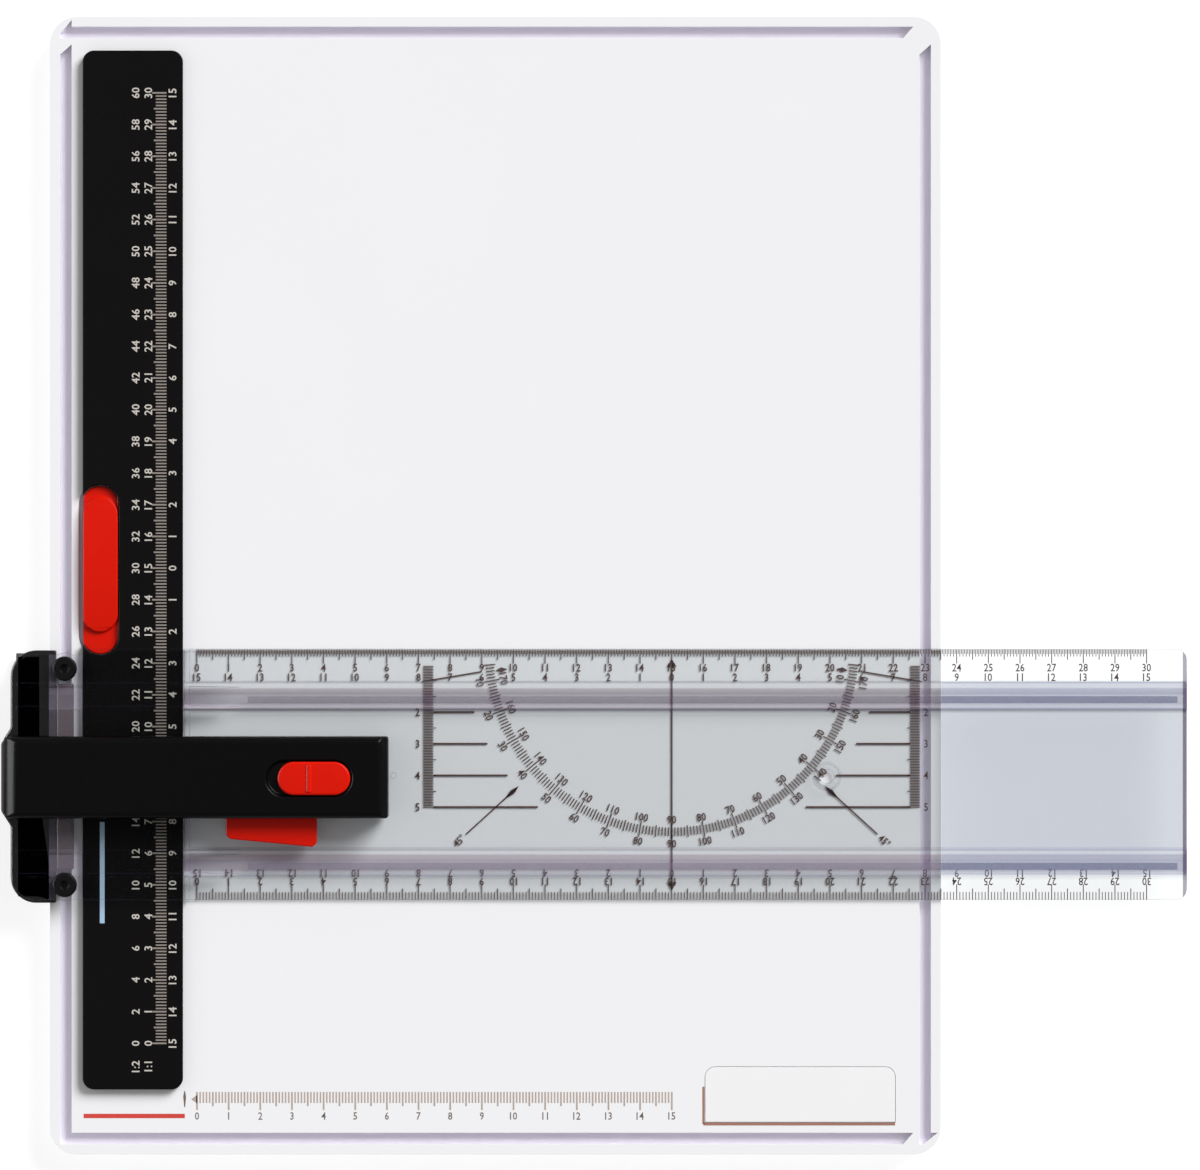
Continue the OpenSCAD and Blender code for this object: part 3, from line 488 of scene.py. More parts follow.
def make_finishes():
    """All the materials, by slot name and by ink."""
    scene = bpy.context.scene
    board, clamp = scene.board_settings, scene.clamp_settings
    rule, handle = scene.rule_settings, scene.handle_settings
    finishes["board_plastic"] = board_finish(board)
    finishes["clear_plastic"] = clear_finish(rule)
    finishes["steel"] = steel_finish()
    # name: colour, roughness, grain and relief in mm, mottle, shine
    plastics = {
        "plate_plastic": (board.plate, 0.35, 0.6, 0.006, 0.01, 0.5),
        "rubber": (srgb(58, 57, 58), 0.8, 0.3, 0.03, 0.05, 0.5),
        "grey_plastic": (handle.inner, 0.5, 0.4, 0.015, 0.05, 0.5),
        "magnet": (srgb(70, 68, 68), 0.7, 0.5, 0.03, 0.05, 0.5),
        "rail_plastic": (clamp.rail, 0.5, 0.55, 0.05, 0.1, 0.05),
        "red_plastic": (clamp.key, 0.35, 0.8, 0.006, 0.04, 0.1),
        "gloss_black": (rule.bar, 0.2, 1.2, 0.004, 0.06, 0.4),
        "brown_plastic": (rule.runner, 0.4, 0.6, 0.01, 0.05, 0.5),
        "stud_black": (srgb(11, 9, 10), 0.4, 0.4, 0.01, 0.05, 0.1),
        "handle_plastic": (handle.shell, 0.3, 0.4, 0.02, 0.06, 0.1),
    }
    for name, (shade, roughness, grain, relief, mottle, shine) in plastics.items():
        finishes[name] = moulded(name, shade, roughness, grain * MM, relief * MM, mottle,
                                 shine=shine)
    inks = {
        "board_ink": board.ink, "board_mark_ink": board.marks, "line_ink": board.lines,
        "stripe_ink": board.stripe, "rail_ink": clamp.ink, "rail_mark_ink": clamp.marks,
        "badge_ink": clamp.badge, "blade_ink": rule.ink,
    }
    for name, shade in inks.items():
        finishes[name] = ink_finish(name, shade)


def finish_of(name):
    """The material of that name, which the first operator makes."""
    if not finishes:
        make_finishes()
    if name not in finishes:
        raise RuntimeError(f"no finish is named {name}")
    return finishes[name]


# ---------------------------------------------------------------- meshes

def placed(name, data):
    """An object of that data, linked to the scene."""
    made = bpy.data.objects.new(name, data)
    bpy.context.scene.collection.objects.link(made)
    return made


def new_piece(name, points, faces, finish, slot, body, smooth=False):
    """A mesh object of those points and faces that rides on a body."""
    mesh = bpy.data.meshes.new(name)
    mesh.from_pydata(points.reshape(-1, 3), [], [tuple(f) for f in faces])
    mesh.polygons.foreach_set("use_smooth", np.full(len(mesh.polygons), smooth))
    mesh.validate()
    piece = placed(name, mesh)
    mesh.materials.append(finish_of(finish))
    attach(piece, body)
    return piece


def joined(*parts):
    """Several (points, faces) as one, each one's faces counted on from the last one's points."""
    counts = np.cumsum([0] + [len(points) for points, _ in parts])
    faces = [tuple(int(i) + start for i in face)
             for start, (_, rows) in zip(counts, parts) for face in rows]
    return np.concatenate([points for points, _ in parts]), faces


BOX_FACES = np.array([[4, 5, 6, 7], [3, 2, 1, 0], [0, 1, 5, 4],
                      [1, 2, 6, 5], [2, 3, 7, 6], [3, 0, 4, 7]])


def bars(starts, ends, widths, low, high, end_widths=None):
    """Flat bars from starts to ends, each a box from low to high. A bar's corners are its two ends,
    moved by half the width at that end along (-dy, dx), its direction turned by a quarter."""
    starts, ends = np.atleast_2d(starts).astype(float), np.atleast_2d(ends).astype(float)
    run = ends - starts
    run /= np.linalg.norm(run, axis=1, keepdims=True)
    turned = np.stack([-run[:, 1], run[:, 0]], 1)
    if end_widths is None:
        end_widths = widths
    first, last = (turned * np.broadcast_to(width, len(run))[:, None] / 2
                   for width in (widths, end_widths))
    ring = np.stack([starts - first, ends - last, ends + last, starts + first], 1)
    levels = [np.concatenate([ring, np.full(ring.shape[:2] + (1,), z)], 2) for z in (low, high)]
    points = np.concatenate(levels, 1).reshape(-1, 3)
    faces = BOX_FACES[None] + 8 * np.arange(len(run))[:, None, None]
    return points, faces.reshape(-1, 4)


def grades(n):
    """0 for each number, 1 for each fifth and 2 for each tenth."""
    return (n % 5 == 0).astype(int) + (n % 10 == 0)


def marks(zero, along, inward, count, reach, width, low, high):
    """A ruler's millimetre marks. Mark n starts at zero + along * n mm and ends at inward * reach
    from there, with one reach for every mark, one for every fifth and one for every tenth."""
    n = np.arange(count + 1)
    grade = grades(n)
    base = np.array(zero) + np.outer(n * MM, along)
    last = base + np.outer(np.array(reach)[grade] * MM, inward)
    return bars(base, last, width * (1 + LONG_MARK_EXTRA * (grade > 0)), low, high)


glyphs = {}


def glyph(text):
    """A short number as a closed plate, one unit high and one thick, about its own middle."""
    if text not in glyphs:
        curve = bpy.data.curves.new("number", "FONT")
        curve.body = text
        curve.resolution_u = 2
        curve.extrude = 0.5
        curve.offset = BOLDNESS
        holder = bpy.data.objects.new("number", curve)
        mesh = bpy.data.meshes.new_from_object(holder)
        shape = bmesh.new()
        shape.from_mesh(mesh)
        bmesh.ops.remove_doubles(shape, verts=shape.verts, dist=1e-4)
        bmesh.ops.triangulate(shape, faces=shape.faces)
        bmesh.ops.recalc_face_normals(shape, faces=shape.faces)
        points = np.array([v.co for v in shape.verts])
        faces = np.array([[v.index for v in f.verts] for f in shape.faces])
        shape.free()
        bpy.data.objects.remove(holder)
        bpy.data.curves.remove(curve)
        bpy.data.meshes.remove(mesh)
        low, high = points.min(0), points.max(0)
        points = (points - (low + high) / 2) / (high - low)[1]
        points[:, 2] *= (high - low)[1]
        glyphs[text] = (points, faces)
    return glyphs[text]


def numbers(labels, height, low, high, narrow=0.86):
    """Numbers lying flat from low to high. Each label is (text, x, y, turn), and its outline is
    narrowed, made height tall, turned about Z and moved to x, y."""
    parts = []
    for text in sorted(set(label[0] for label in labels)):
        outline, faces = glyph(text)
        x, y, turn = np.array([label[1:] for label in labels if label[0] == text]).T[:, :, None]
        across, up = outline[None, :, 0] * height * narrow, outline[None, :, 1] * height
        spots = np.stack([
            x + np.cos(turn) * across - np.sin(turn) * up,
            y + np.sin(turn) * across + np.cos(turn) * up,
            np.broadcast_to(np.where(outline[:, 2] > 0, high, low), (len(x), len(outline))),
        ], 2)
        rows = faces[None] + len(outline) * np.arange(len(x))[:, None, None]
        parts.append((spots.reshape(-1, 3), rows.reshape(-1, 3)))
    return joined(*parts)


def sweep(rings):
    """Skin over rings of points, (N, K, 3): each ring is joined to the next by quads, and the
    first and the last are closed by a face."""
    n, k = rings.shape[:2]
    grid = np.arange(n * k).reshape(n, k)
    turned = np.roll(grid, -1, 1)
    quads = np.stack([grid[:-1], turned[:-1], turned[1:], grid[1:]], 2).reshape(-1, 4)
    return rings.reshape(-1, 3), [*map(tuple, quads), tuple(grid[0][::-1]), tuple(grid[-1])]


def softened(node, radius, finish, segments=2, clamp=False):
    """A copy of a CAD node with its doubles merged and its flat faces joined, whose edges that turn
    by more than EDGE_TURN are rounded by a bevel. With clamp the rounding shrinks until no two
    bevels meet. It stands for the node."""
    source = frame["nodes"][node]
    shape = bmesh.new()
    shape.from_mesh(source.data)
    bmesh.ops.remove_doubles(shape, verts=shape.verts, dist=SAME_POINT)
    bmesh.ops.dissolve_limit(shape, angle_limit=FLAT_TURN, verts=shape.verts, edges=shape.edges)
    mesh = bpy.data.meshes.new(node + "_moulded")
    shape.to_mesh(mesh)
    shape.free()
    mesh.polygons.foreach_set("use_smooth", np.full(len(mesh.polygons), True))
    piece = placed(mesh.name, mesh)
    mesh.materials.append(finish_of(finish))
    edge = piece.modifiers.new("rounded edges", "BEVEL")
    edge.width = radius
    edge.segments = segments
    edge.limit_method = "ANGLE"
    edge.angle_limit = EDGE_TURN
    edge.use_clamp_overlap = clamp
    even_shading(piece)
    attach(piece, source["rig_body"])
    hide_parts(node)
    return piece


def even_shading(piece):
    """Weights the normals by face area, so that large flat faces are shaded flat."""
    even = piece.modifiers.new("flat faces", "WEIGHTED_NORMAL")
    even.mode = "FACE_AREA"
    even.weight = 100


def note_tilt(piece):
    """Applies a piece's modifiers and stores an attribute, tilt, that is 1 - |nz| on each face
    whose normal has the height nz: 0 on level faces and 1 on upright ones."""
    seen = piece.evaluated_get(bpy.context.evaluated_depsgraph_get())
    mesh = bpy.data.meshes.new_from_object(seen)
    piece.modifiers.clear()
    piece.data = mesh
    normals = np.zeros(len(mesh.polygons) * 3, np.float32)
    mesh.polygons.foreach_get("normal", normals)
    sides = np.zeros(len(mesh.polygons), np.int32)
    mesh.polygons.foreach_get("loop_total", sides)
    tilt = np.repeat(1 - np.abs(normals[2::3]), sides)
    mesh.attributes.new("tilt", "FLOAT", "CORNER").data.foreach_set("value", tilt)


def finish_node(node, finish):
    """Gives a CAD node that stays its material."""
    mesh = frame["nodes"][node].data
    mesh.materials.clear()
    mesh.materials.append(finish_of(finish))


# ---------------------------------------------------------------- layout of the prints

# Reach in mm of a scale's every, every fifth and every tenth mark
BOARD_MARKS = (3.5, 4.5, 5.7)
RAIL_MARKS = (3.4, 4.0, 4.6)
PROTRACTOR_MARKS = (1.35, 1.8, 2.5)

BOARD_SCALE = 19.75 * MM    # from the board's lower edge up to its scale
BOARD_ROW = 7.6 * MM        # and from there down to its numbers and the stripe
STRIPE_ENDS = (10.6, 42.6)  # the red stripe's, from the board's left edge, in mm
RAIL_COLUMNS = (16.75, 20.75, 28.4)      # the rail's numbers, from its left edge, in mm
RAIL_SCALE = 26.5 * MM      # and its marks, from the same edge
RATIO_ROW = 7.3 * MM        # from the zero of the rail's scales down to its ratios
BADGE_ENDS = (52.5, 84.5)   # the rail's pale bar, from its lower end, in mm

# The blade's drawing edges: name, side, turn of the numbers, their two rows from the blade's
# middle in mm, and the reach of the marks
BLADE_EDGES = (
    ("upper", 1, 0, (33.8, 30.75), (2.3, 3.3, 4.5)),
    ("lower", -1, math.pi, (33.75, 31.15), (2.5, 3.6, 4.9)),
)
BLADE_MARK = 0.26 * MM      # width of their marks
MIDDLE_LINE = 36.6 * MM     # reach of the protractor's middle line, up and down
ARROW = 2.6 * MM            # length of its two heads
LADDER = 75.3 * MM          # from the protractor's centre to the two upright scales
LINE_ARC = 65.5 * MM        # and to the ends of their centimetre lines
POINT = 0.1 * MM            # width of a pointed bar at its tip

scale_middle = scale_x + SCALE_CM / 2 * CM
rule_top = rule_y + rule_half

TOOTH_FOOT = 0.01 * MM      # how far the blade's serrations start over the rib
TOOTH = 0.13 * MM           # height of one of them
INK_ON_BOARD = (board_high.z - INK_SUNK, board_high.z + INK_PROUD)
INK_ON_RAIL = (rail_high.z - INK_SUNK, rail_high.z + INK_PROUD)
INK_IN_BLADE = (under_blade - INK_PROUD, under_blade + INK_SUNK)


# ---------------------------------------------------------------- operators

class BOARD_OT_panel(bpy.types.Operator):
    """Finish the board panel, its name plate and its feet"""

    bl_idname = "drawing_board.panel"
    bl_label = "Board panel"

    def execute(self, context):
        settings = context.scene.board_settings
        softened("board_panel", settings.rounding, "board_plastic", clamp=True)
        softened("name_plate", 0.2 * MM, "plate_plastic")
        softened("rubber_feet", 0.4 * MM, "rubber")
        return {"FINISHED"}


class BOARD_OT_board_print(bpy.types.Operator):
    """Print the scale along the board's lower edge, the stripe and the plate's two edge lines,
    partly painted shadow
    """

    bl_idname = "drawing_board.board_print"
    bl_label = "Board print"

    def execute(self, context):
        settings = context.scene.board_settings
        line = board_low.y + BOARD_SCALE
        row = line - BOARD_ROW
        scale = marks((scale_x, line), (1, 0), (0, -1), 150, BOARD_MARKS, 0.48 * MM, *INK_ON_BOARD)
        labels = [(str(n), scale_x + n * CM, row, 0) for n in range(16)]
        text = numbers(labels, settings.number_height, *INK_ON_BOARD)
        tip, level = scale_x - 1.8 * MM, line - 2.3 * MM
        pointer = bars([(tip, level)], [(tip + 1.9 * MM, level)], POINT, *INK_ON_BOARD,
                       end_widths=2.8 * MM)
        post_x, top, waist, foot = (scale_x - 3.9 * MM, line + 0.3 * MM, line - 1.6 * MM,
                                    line - 4.8 * MM)
        post = bars([(post_x, top), (post_x, foot)], [(post_x, waist)] * 2, 0.3 * MM,
                    *INK_ON_BOARD, end_widths=0.9 * MM)
        new_piece("board_marks", *joined(scale, pointer), "board_mark_ink", "board_plastic",
                  "board")
        new_piece("board_numbers", *joined(text, post), "board_ink", "board_plastic", "board")
        left, right = (board_low.x + inset * MM for inset in STRIPE_ENDS)
        stripe = bars([(left, row)], [(right, row)], 1.4 * MM, *INK_ON_BOARD)
        new_piece("board_stripe", *stripe, "stripe_ink", "board_plastic", "board")
        self.plate_lines()
        return {"FINISHED"}

    def plate_lines(self):
        """The two lines along the plate's left and lower edges, partly print and partly painted
        shadow of the raised plate.
        """
        x, y = plate_low.x - 0.55 * MM, plate_low.y - 0.6 * MM
        top = y + 11.8 * MM
        widths = np.array([0.7, 0.9]) * MM
        # partly print, partly painted shadow of the raised plate
        lines = bars([(x, y), (x, y)], [(x, top), (plate_high.x, y)], widths, *INK_ON_BOARD)
        new_piece("plate_lines", *lines, "line_ink", "board_plastic", "board")


class BOARD_OT_clamp(bpy.types.Operator):
    """Finish the clamp rail, its magnet and steel strips, its hinges and its key"""

    bl_idname = "drawing_board.clamp"
    bl_label = "Clamp rail and key"

    def execute(self, context):
        settings = context.scene.clamp_settings
        softened("clamp_rail", settings.rounding, "rail_plastic")
        softened("clamp_key", 0.45 * MM, "red_plastic", segments=3)
        for node, finish in (("magnet_strip", "magnet"), ("steel_strip", "steel"),
                             ("hinge_blocks", "grey_plastic"), ("hinge_pins", "steel"),
                             ("hinge_screws", "steel"), ("key_pin", "steel")):
            finish_node(node, finish)
        return {"FINISHED"}


class BOARD_OT_rail_print(bpy.types.Operator):
    """Print the rail's three columns of numbers, its marks and the plain bar"""

    bl_idname = "drawing_board.rail_print"
    bl_label = "Rail print"

    def execute(self, context):
        settings = context.scene.clamp_settings
        left, zero = rail_low.x, rail_low.y + settings.zero
        columns = [left + offset * MM for offset in RAIL_COLUMNS]
        ratio_y = zero - RATIO_ROW
        upright = 90 * DEG
        labels = [(text, x, zero + n * CM, upright)
                  for n in range(SCALE_CM + 1)
                  for text, x in zip((str(2 * n), str(n), str(abs(15 - n))), columns)]
        labels += [(text, x, ratio_y, upright) for text, x in zip(("1:2", "1:1"), columns)]
        text = numbers(labels, settings.number_height, *INK_ON_RAIL, narrow=1.04)
        scale = marks((left + RAIL_SCALE, zero), (0, 1), (-1, 0), SCALE_CM * 10, RAIL_MARKS,
                      0.44 * MM, *INK_ON_RAIL)
        new_piece("rail_numbers", *text, "rail_ink", "rail_plastic", "clamp_rail")
        new_piece("rail_marks", *scale, "rail_mark_ink", "rail_plastic", "clamp_rail")
        badge_x = left + 6.2 * MM
        foot, top = (rail_low.y + reach * MM for reach in BADGE_ENDS)
        badge = bars([(badge_x, foot)], [(badge_x, top)], 1.5 * MM, *INK_ON_RAIL)
        new_piece("rail_badge", *badge, "badge_ink", "rail_plastic", "clamp_rail")
        return {"FINISHED"}


class BOARD_OT_blade(bpy.types.Operator):
    """Finish the clear blade and set the serrations on its two ribs"""

    bl_idname = "drawing_board.blade"
    bl_label = "Clear blade"

    def execute(self, context):
        settings = context.scene.rule_settings
        note_tilt(softened("blade", settings.rounding, "clear_plastic"))
        for name, middle in (("upper", 23.7), ("lower", -28.9)):
            points, faces = self.serrations(rule_y + middle * MM, 2.2 * MM, settings.tooth)
            new_piece(f"blade_serrations_{name}", points, faces, "clear_plastic",
                      "clear_plastic", "rule")
        return {"FINISHED"}

    def serrations(self, middle, width, pitch):
        """A strip along X whose top is a row of teeth. At s from its start it stands over the rib
        by TOOTH_FOOT + TOOTH * (1 - |2 frac(s / pitch) - 1|), with four points at each bend."""
        start, end = bevel_x + 20 * MM, blade_high.x - 3 * MM
        count = int((end - start) / pitch) * 2
        x = np.linspace(start, end, count + 1)
        rib = under_blade + BLADE_RIB
        top = rib + TOOTH_FOOT + TOOTH * (np.arange(count + 1) % 2)
        low = np.full(count + 1, rib - 0.05 * MM)
        near, far = middle - width / 2, middle + width / 2
        ring = [(x, near, low), (x, near, top), (x, far, top), (x, far, low)]
        rings = np.stack([np.stack(np.broadcast_arrays(*corner), 1) for corner in ring], 1)
        return sweep(rings[:, ::-1])


class BOARD_OT_blade_scales(bpy.types.Operator):
    """Print the scales along the blade's two drawing edges"""

    bl_idname = "drawing_board.blade_scales"
    bl_label = "Blade scales"

    def execute(self, context):
        height = context.scene.rule_settings.number_height
        for name, side, turn, rows, reach in BLADE_EDGES:
            edge = rule_y + side * (rule_half - 0.15 * MM)
            scale = marks((scale_x, edge), (1, 0), (0, -side), SCALE_CM * 10, reach, BLADE_MARK,
                          *INK_IN_BLADE)
            labels = [(text, scale_x + n * CM, rule_y + side * row * MM, turn)
                      for n in range(SCALE_CM + 1)
                      for text, row in zip((str(n), str(abs(15 - n))), rows)]
            parts = [scale, numbers(labels, height, *INK_IN_BLADE)]
            if side > 0:
                parts.append(self.half_marks(edge))
            new_piece(f"blade_scale_{name}", *joined(*parts), "blade_ink", "clear_plastic", "rule")
        return {"FINISHED"}

    def half_marks(self, edge):
        """Short marks halfway between the upper scale's millimetres."""
        x = scale_x + np.arange(0.5, SCALE_CM * 10, 1) * MM
        top, foot = np.full(len(x), edge), np.full(len(x), edge - 1.5 * MM)
        return bars(np.stack([x, top], 1), np.stack([x, foot], 1), BLADE_MARK, *INK_IN_BLADE)


class BOARD_OT_protractor(bpy.types.Operator):
    """Print the protractor, with its two rows of numbers and its middle line"""

    bl_idname = "drawing_board.protractor"
    bl_label = "Protractor"

    def execute(self, context):
        settings = context.scene.rule_settings
        centre = np.array([scale_middle, rule_top])
        radius = settings.protractor
        angles = np.arange(5, 176)
        out = np.stack([np.cos(angles * DEG), -np.sin(angles * DEG)], 1)
        reach = np.array(PROTRACTOR_MARKS)[grades(angles)][:, None] * MM
        ladder = bars(centre + out * (radius - reach), centre + out * (radius + reach),
                      0.34 * MM, *INK_IN_BLADE)
        labels = []
        row = 3.8 * MM
        for angle in range(10, 171, 10):
            way = np.array([-math.cos(angle * DEG), -math.sin(angle * DEG)])
            turn = (angle - 90) * DEG
            for value, away in ((angle, row), (180 - angle, -row)):
                spot = centre + way * (radius + away)
                labels.append((str(value), *spot, turn))
        text = numbers(labels, settings.number_height, *INK_IN_BLADE)
        x = scale_middle
        top, bottom = rule_y + MIDDLE_LINE, rule_y - MIDDLE_LINE
        line = bars([(x, top - ARROW)], [(x, bottom + ARROW)], 0.5 * MM, *INK_IN_BLADE)
        arrows = bars([(x, top), (x, bottom)], [(x, top - ARROW), (x, bottom + ARROW)],
                      POINT / 2, *INK_IN_BLADE, end_widths=3.0 * MM)
        new_piece("protractor", *joined(ladder, text, line, arrows),
                  "blade_ink", "clear_plastic", "rule")
        return {"FINISHED"}


class BOARD_OT_depth_scales(bpy.types.Operator):
    """Print the two upright scales, with the lines at each centimetre and the slanted lines"""

    bl_idname = "drawing_board.depth_scales"
    bl_label = "Depth scales"

    def execute(self, context):
        height = context.scene.rule_settings.number_height
        for name, side in (("left", -1), ("right", 1)):
            ladder_x = scale_middle + side * LADDER
            ladder = self.ladder(ladder_x, side)
            depth = np.arange(2, 6) * CM
            ends = scale_middle + side * np.sqrt(LINE_ARC ** 2 - depth ** 2)
            start = np.full(len(depth), ladder_x)
            level = rule_top - depth
            lines = bars(np.stack([start, level], 1), np.stack([ends, level], 1),
                         0.6 * MM, *INK_IN_BLADE)
            labels = [(str(n), ladder_x + side * 5.0 * MM, rule_top - n * CM, 0)
                      for n in range(2, 6)]
            labels.append(("45°", *self.spot(67.2, 60.6, side), -side * 45 * DEG))
            text = numbers(labels, height, *INK_IN_BLADE)
            slant = self.slanted(side)
            new_piece(f"depth_scale_{name}", *joined(ladder, lines, text, *slant),
                      "blade_ink", "clear_plastic", "rule")
        return {"FINISHED"}

    def spot(self, x, y, side):
        """A place in mm from the protractor's centre, outwards on one side and down."""
        return scale_middle + side * x * MM, rule_top - y * MM

    def ladder(self, x, side):
        """Level marks at each half millimetre from 5.5 to 50, those at 5 mm a little longer."""
        halves = np.arange(11, 101)
        y = rule_top - halves * 0.5 * MM
        inner = x - side * 0.9 * MM * (halves % 10 == 0)
        outer = np.full(len(y), x + side * 3.2 * MM)
        return bars(np.stack([inner, y], 1), np.stack([outer, y], 1), 0.27 * MM, *INK_IN_BLADE)

    def slanted(self, side):
        """The 45 degree line with its long diamond, and the shallow line with its dot."""
        def spot(x, y):
            return self.spot(x, y, side)

        line = bars([spot(65.0, 58.6), spot(79.0, 10.4)], [spot(49.0, 44.0), spot(60.0, 7.2)],
                    0.45 * MM, *INK_IN_BLADE)
        tips, belly = [spot(52.6, 47.3), spot(48.4, 43.4)], spot(50.3, 45.2)
        diamond = bars(tips, [belly, belly], POINT, *INK_IN_BLADE, end_widths=1.6 * MM)
        dot_tips, dot = [spot(55.6, 6.8), spot(52.0, 6.4)], spot(53.8, 6.6)
        dots = bars(dot_tips, [dot, dot], POINT, *INK_IN_BLADE, end_widths=1.5 * MM)
        return line, diamond, dots


class BOARD_OT_head(bpy.types.Operator):
    """Finish the guide bar, its hook plate, the runner and the studs"""

    bl_idname = "drawing_board.head"
    bl_label = "Rule head"

    def execute(self, context):
        softened("guide_bar", 0.6 * MM, "gloss_black", segments=3)
        softened("guide_studs", 0.25 * MM, "stud_black")
        softened("guide_runner", 0.4 * MM, "brown_plastic")
        softened("hook_plate", 0.25 * MM, "grey_plastic")
        finish_node("hook_screws", "steel")
        return {"FINISHED"}


class BOARD_OT_handle(bpy.types.Operator):
    """Finish the handle, its base and its fasteners"""

    bl_idname = "drawing_board.handle"
    bl_label = "Handle"

    def execute(self, context):
        settings = context.scene.handle_settings
        softened("handle_shell", settings.rounding, "handle_plastic", segments=3)
        for node, finish in (("handle_base", "grey_plastic"), ("handle_screws", "steel"),
                             ("lever_pin", "steel"), ("brake_spring", "steel")):
            finish_node(node, finish)
        return {"FINISHED"}


class BOARD_OT_brake(bpy.types.Operator):
    """Finish the release lever, the lock button and the brake"""

    bl_idname = "drawing_board.brake"
    bl_label = "Lever, lock and brake"

    def execute(self, context):
        softened("release_lever", 0.5 * MM, "red_plastic", segments=3)
        self.lock_button()
        for node, finish in (("lock_clip", "steel"), ("push_rod", "steel"),
                             ("brake_shoe", "grey_plastic"), ("brake_pads", "rubber")):
            finish_node(node, finish)
        return {"FINISHED"}

    def lock_button(self):
        """The button's cap, the ridge across it and the stem under it. The cap is a stadium ring
        carried along a profile of (inset, height) that rounds its top edge; the ring at an inset
        is that of the two end arcs with their radius less the inset."""
        low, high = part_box("lock_button")
        ridge = 0.4 * MM
        top, base = high.z - ridge, high.z - ridge - 1.7 * MM
        middle = (low + high) / 2
        radius = (high.y - low.y) / 2
        straight = (high.x - low.x) / 2 - radius
        edge = 0.7 * MM
        bend = np.linspace(0, 90, 7) * DEG
        inset = np.concatenate([[0.0], edge * (1 - np.cos(bend)), [radius * 0.55, radius * 0.9]])
        height = np.concatenate([[base], top - 0.12 * MM - edge * (1 - np.sin(bend)),
                                 [top - 0.03 * MM, top]])
        arc = np.linspace(-90, 90, 25) * DEG
        angle = np.concatenate([arc, arc + math.pi])
        shift = np.repeat([straight, -straight], len(arc))
        size = (radius - inset)[:, None]
        rings = np.stack([middle.x + shift + size * np.cos(angle), middle.y + size * np.sin(angle),
                          np.broadcast_to(height[:, None], (len(height), len(angle)))], 2)
        cap = sweep(rings)
        stem = bars([(middle.x - 4 * MM, middle.y)], [(middle.x + 4 * MM, middle.y)], 4 * MM,
                    low.z, base + 0.2 * MM)
        around = np.linspace(0, 2 * math.pi, 17)[:-1]
        ridge_x = middle.x - 1.55 * MM
        half = radius - 0.9 * MM
        ends = np.array([-half, -half + 0.25 * MM, half - 0.25 * MM, half])[:, None]
        swell = np.array([0.15, 0.45, 0.45, 0.15])[:, None] * MM
        across = np.broadcast_arrays(ridge_x + 2 * swell * np.cos(around), middle.y + ends,
                                     high.z - 0.45 * MM + swell * np.sin(around))
        bar = sweep(np.stack(across, 2))
        points, faces = joined(cap, stem, bar)
        piece = new_piece("lock_button_cap", points, faces, "red_plastic", "red_plastic", "lock",
                          smooth=True)
        even_shading(piece)
        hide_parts("lock_button")


FLOOR_SIDE = 12.0           # the floor's side, in metres
FLOOR_CLOUD = 0.4           # size of the faint cloudiness in its colour
FLOOR_GLOW = 0.82           # how much it shines by itself
PANEL_SIDE = 1.2            # side of the light panel at the left
PANEL_PLACE = (-1.6, 0.2, 0.9)
SENSOR = 36                 # width of the camera's sensor, in mm
CAMERA_SHIFT = (1.67 * MM, 0.16 * MM)    # of the camera from the object's middle


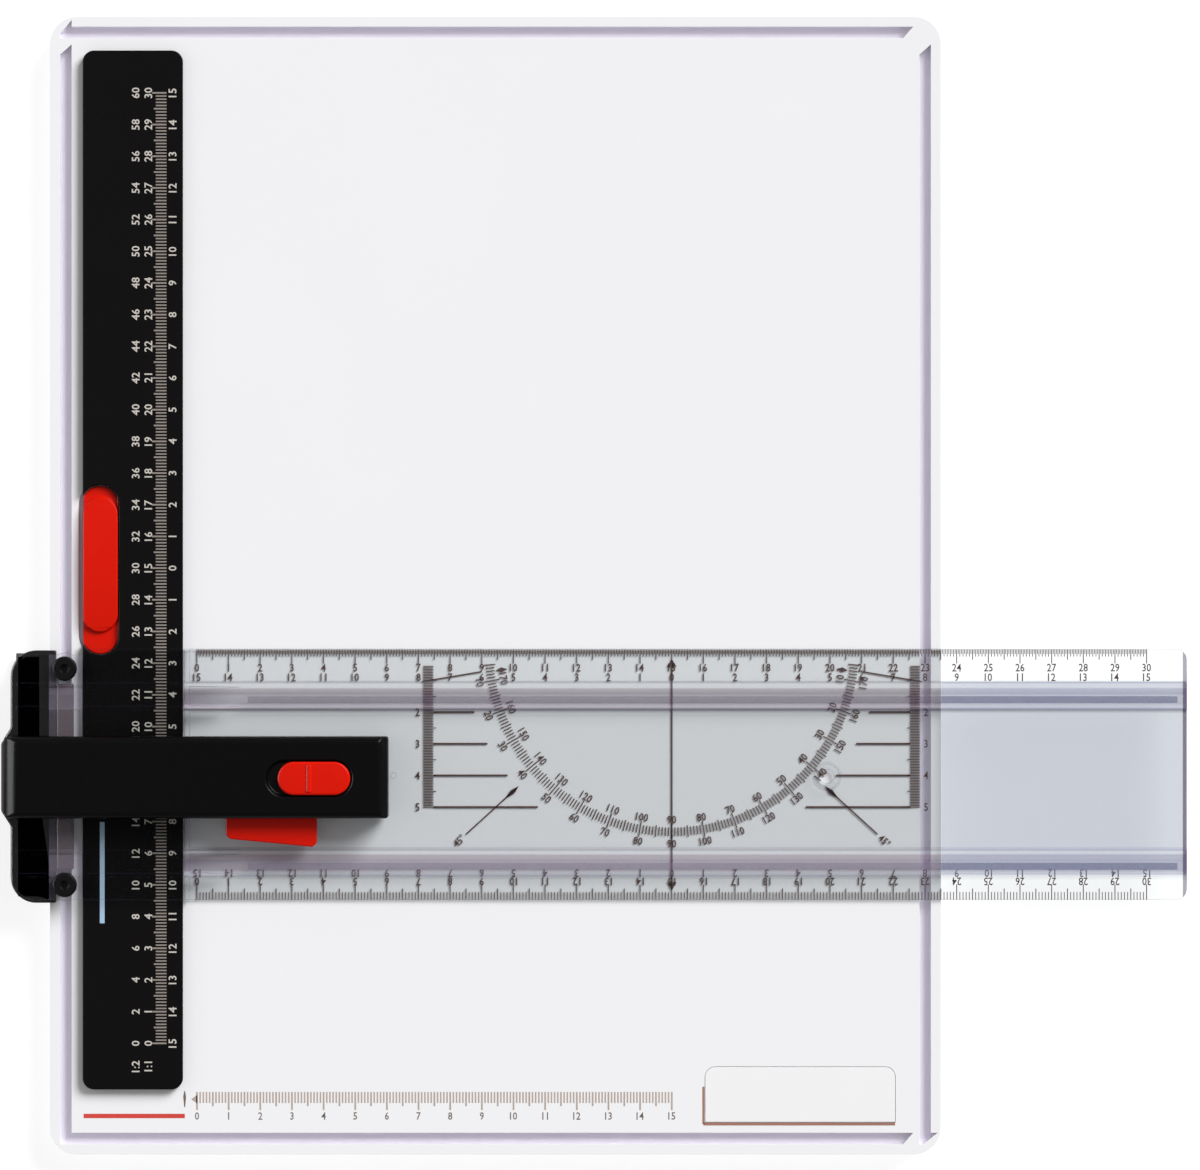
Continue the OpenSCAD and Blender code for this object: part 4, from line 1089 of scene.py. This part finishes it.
class BOARD_OT_stage(bpy.types.Operator):
    """Set up the floor, the lights and the camera over the board"""

    bl_idname = "drawing_board.stage"
    bl_label = "Stage"

    def execute(self, context):
        settings = context.scene.stage_settings
        self.floor(settings)
        self.lights(settings)
        self.camera(settings)
        return {"FINISHED"}

    def floor(self, settings):
        """A wide flat square at height zero, lit a little by itself so that it stays pale."""
        half = FLOOR_SIDE / 2
        points = np.array([(-half, -half, 0), (half, -half, 0), (half, half, 0), (-half, half, 0)])
        mesh = bpy.data.meshes.new("floor")
        mesh.from_pydata(points, [], [(0, 1, 2, 3)])
        floor = placed("floor", mesh)
        finish = Finish("floor")
        cloud = finish.noise(finish.place(), FLOOR_CLOUD, 2.0)
        base = finish.mix(cloud, scaled(settings.floor, 0.99), settings.floor[:])
        surface = finish.principled(Base_Color=base, Roughness=0.9, Specular_IOR_Level=0.0,
                                    Emission_Color=(1.0, 1.0, 1.0), Emission_Strength=FLOOR_GLOW)
        mesh.materials.append(finish.finished(surface))

    def lights(self, settings):
        """A broad sun from the upper right and an even white sky."""
        sun = bpy.data.lights.new("key_light", "SUN")
        sun.energy = settings.sun_strength
        sun.angle = settings.sun_size
        holder = placed("key_light", sun)
        flat = math.cos(settings.sun_height)
        toward = Vector((flat * math.cos(settings.sun_turn), flat * math.sin(settings.sun_turn),
                         math.sin(settings.sun_height)))
        holder.rotation_euler = toward.to_track_quat("Z", "Y").to_euler()
        self.side_light(settings)
        world = bpy.data.worlds.new("soft_sky")
        bpy.context.scene.world = world
        world.use_nodes = True
        sky = world.node_tree.nodes["Background"]
        sky.inputs["Color"].default_value = (1.0, 1.0, 1.0, 1.0)
        sky.inputs["Strength"].default_value = settings.sky_strength

    def side_light(self, settings):
        """A soft panel to the left that shows only as a gloss on dark edges."""
        panel = bpy.data.lights.new("side_light", "AREA")
        panel.size = PANEL_SIDE
        panel.energy = settings.side_power
        holder = placed("side_light", panel)
        holder.location = PANEL_PLACE
        holder.rotation_euler = holder.location.to_track_quat("Z", "Y").to_euler()
        holder.visible_diffuse = False

    def camera(self, settings):
        """A long lens straight above the middle of the object."""
        low, high = cad_box
        middle = (Vector(low) + Vector(high)) / 2
        lens = bpy.data.cameras.new("camera")
        lens.sensor_width = SENSOR
        lens.lens = SENSOR * settings.distance / settings.view_width
        lens.clip_end = 50
        camera = placed("camera", lens)
        camera.location = (middle.x + CAMERA_SHIFT[0], middle.y + CAMERA_SHIFT[1],
                           board_high.z + settings.distance)
        bpy.context.scene.camera = camera
        bpy.context.scene.view_settings.view_transform = "Standard"


OPERATORS = (
    BOARD_OT_panel,
    BOARD_OT_board_print,
    BOARD_OT_clamp,
    BOARD_OT_rail_print,
    BOARD_OT_blade,
    BOARD_OT_blade_scales,
    BOARD_OT_protractor,
    BOARD_OT_depth_scales,
    BOARD_OT_head,
    BOARD_OT_handle,
    BOARD_OT_brake,
    BOARD_OT_stage,
)


class BOARD_PT_panel(bpy.types.Panel):
    """Sidebar panel with one button for each operator"""

    bl_idname = "BOARD_PT_panel"
    bl_label = "Drawing board"
    bl_space_type = "VIEW_3D"
    bl_region_type = "UI"
    bl_category = "Drawing board"

    def draw(self, context):
        for operator in OPERATORS:
            self.layout.operator(operator.bl_idname)


def register():
    """Registers the settings, the operators and the panel."""
    for name, group in SETTINGS.items():
        bpy.utils.register_class(group)
        setattr(bpy.types.Scene, name, PointerProperty(type=group))
    for operator in OPERATORS:
        bpy.utils.register_class(operator)
    bpy.utils.register_class(BOARD_PT_panel)


def unregister():
    """Takes them all away again."""
    bpy.utils.unregister_class(BOARD_PT_panel)
    for operator in reversed(OPERATORS):
        bpy.utils.unregister_class(operator)
    for name, group in reversed(SETTINGS.items()):
        delattr(bpy.types.Scene, name)
        bpy.utils.unregister_class(group)


def main():
    """Runs every operator in order."""
    register()
    for operator in OPERATORS:
        group, name = operator.bl_idname.split(".")
        getattr(getattr(bpy.ops, group), name)()


if __name__ == "__main__":
    main()
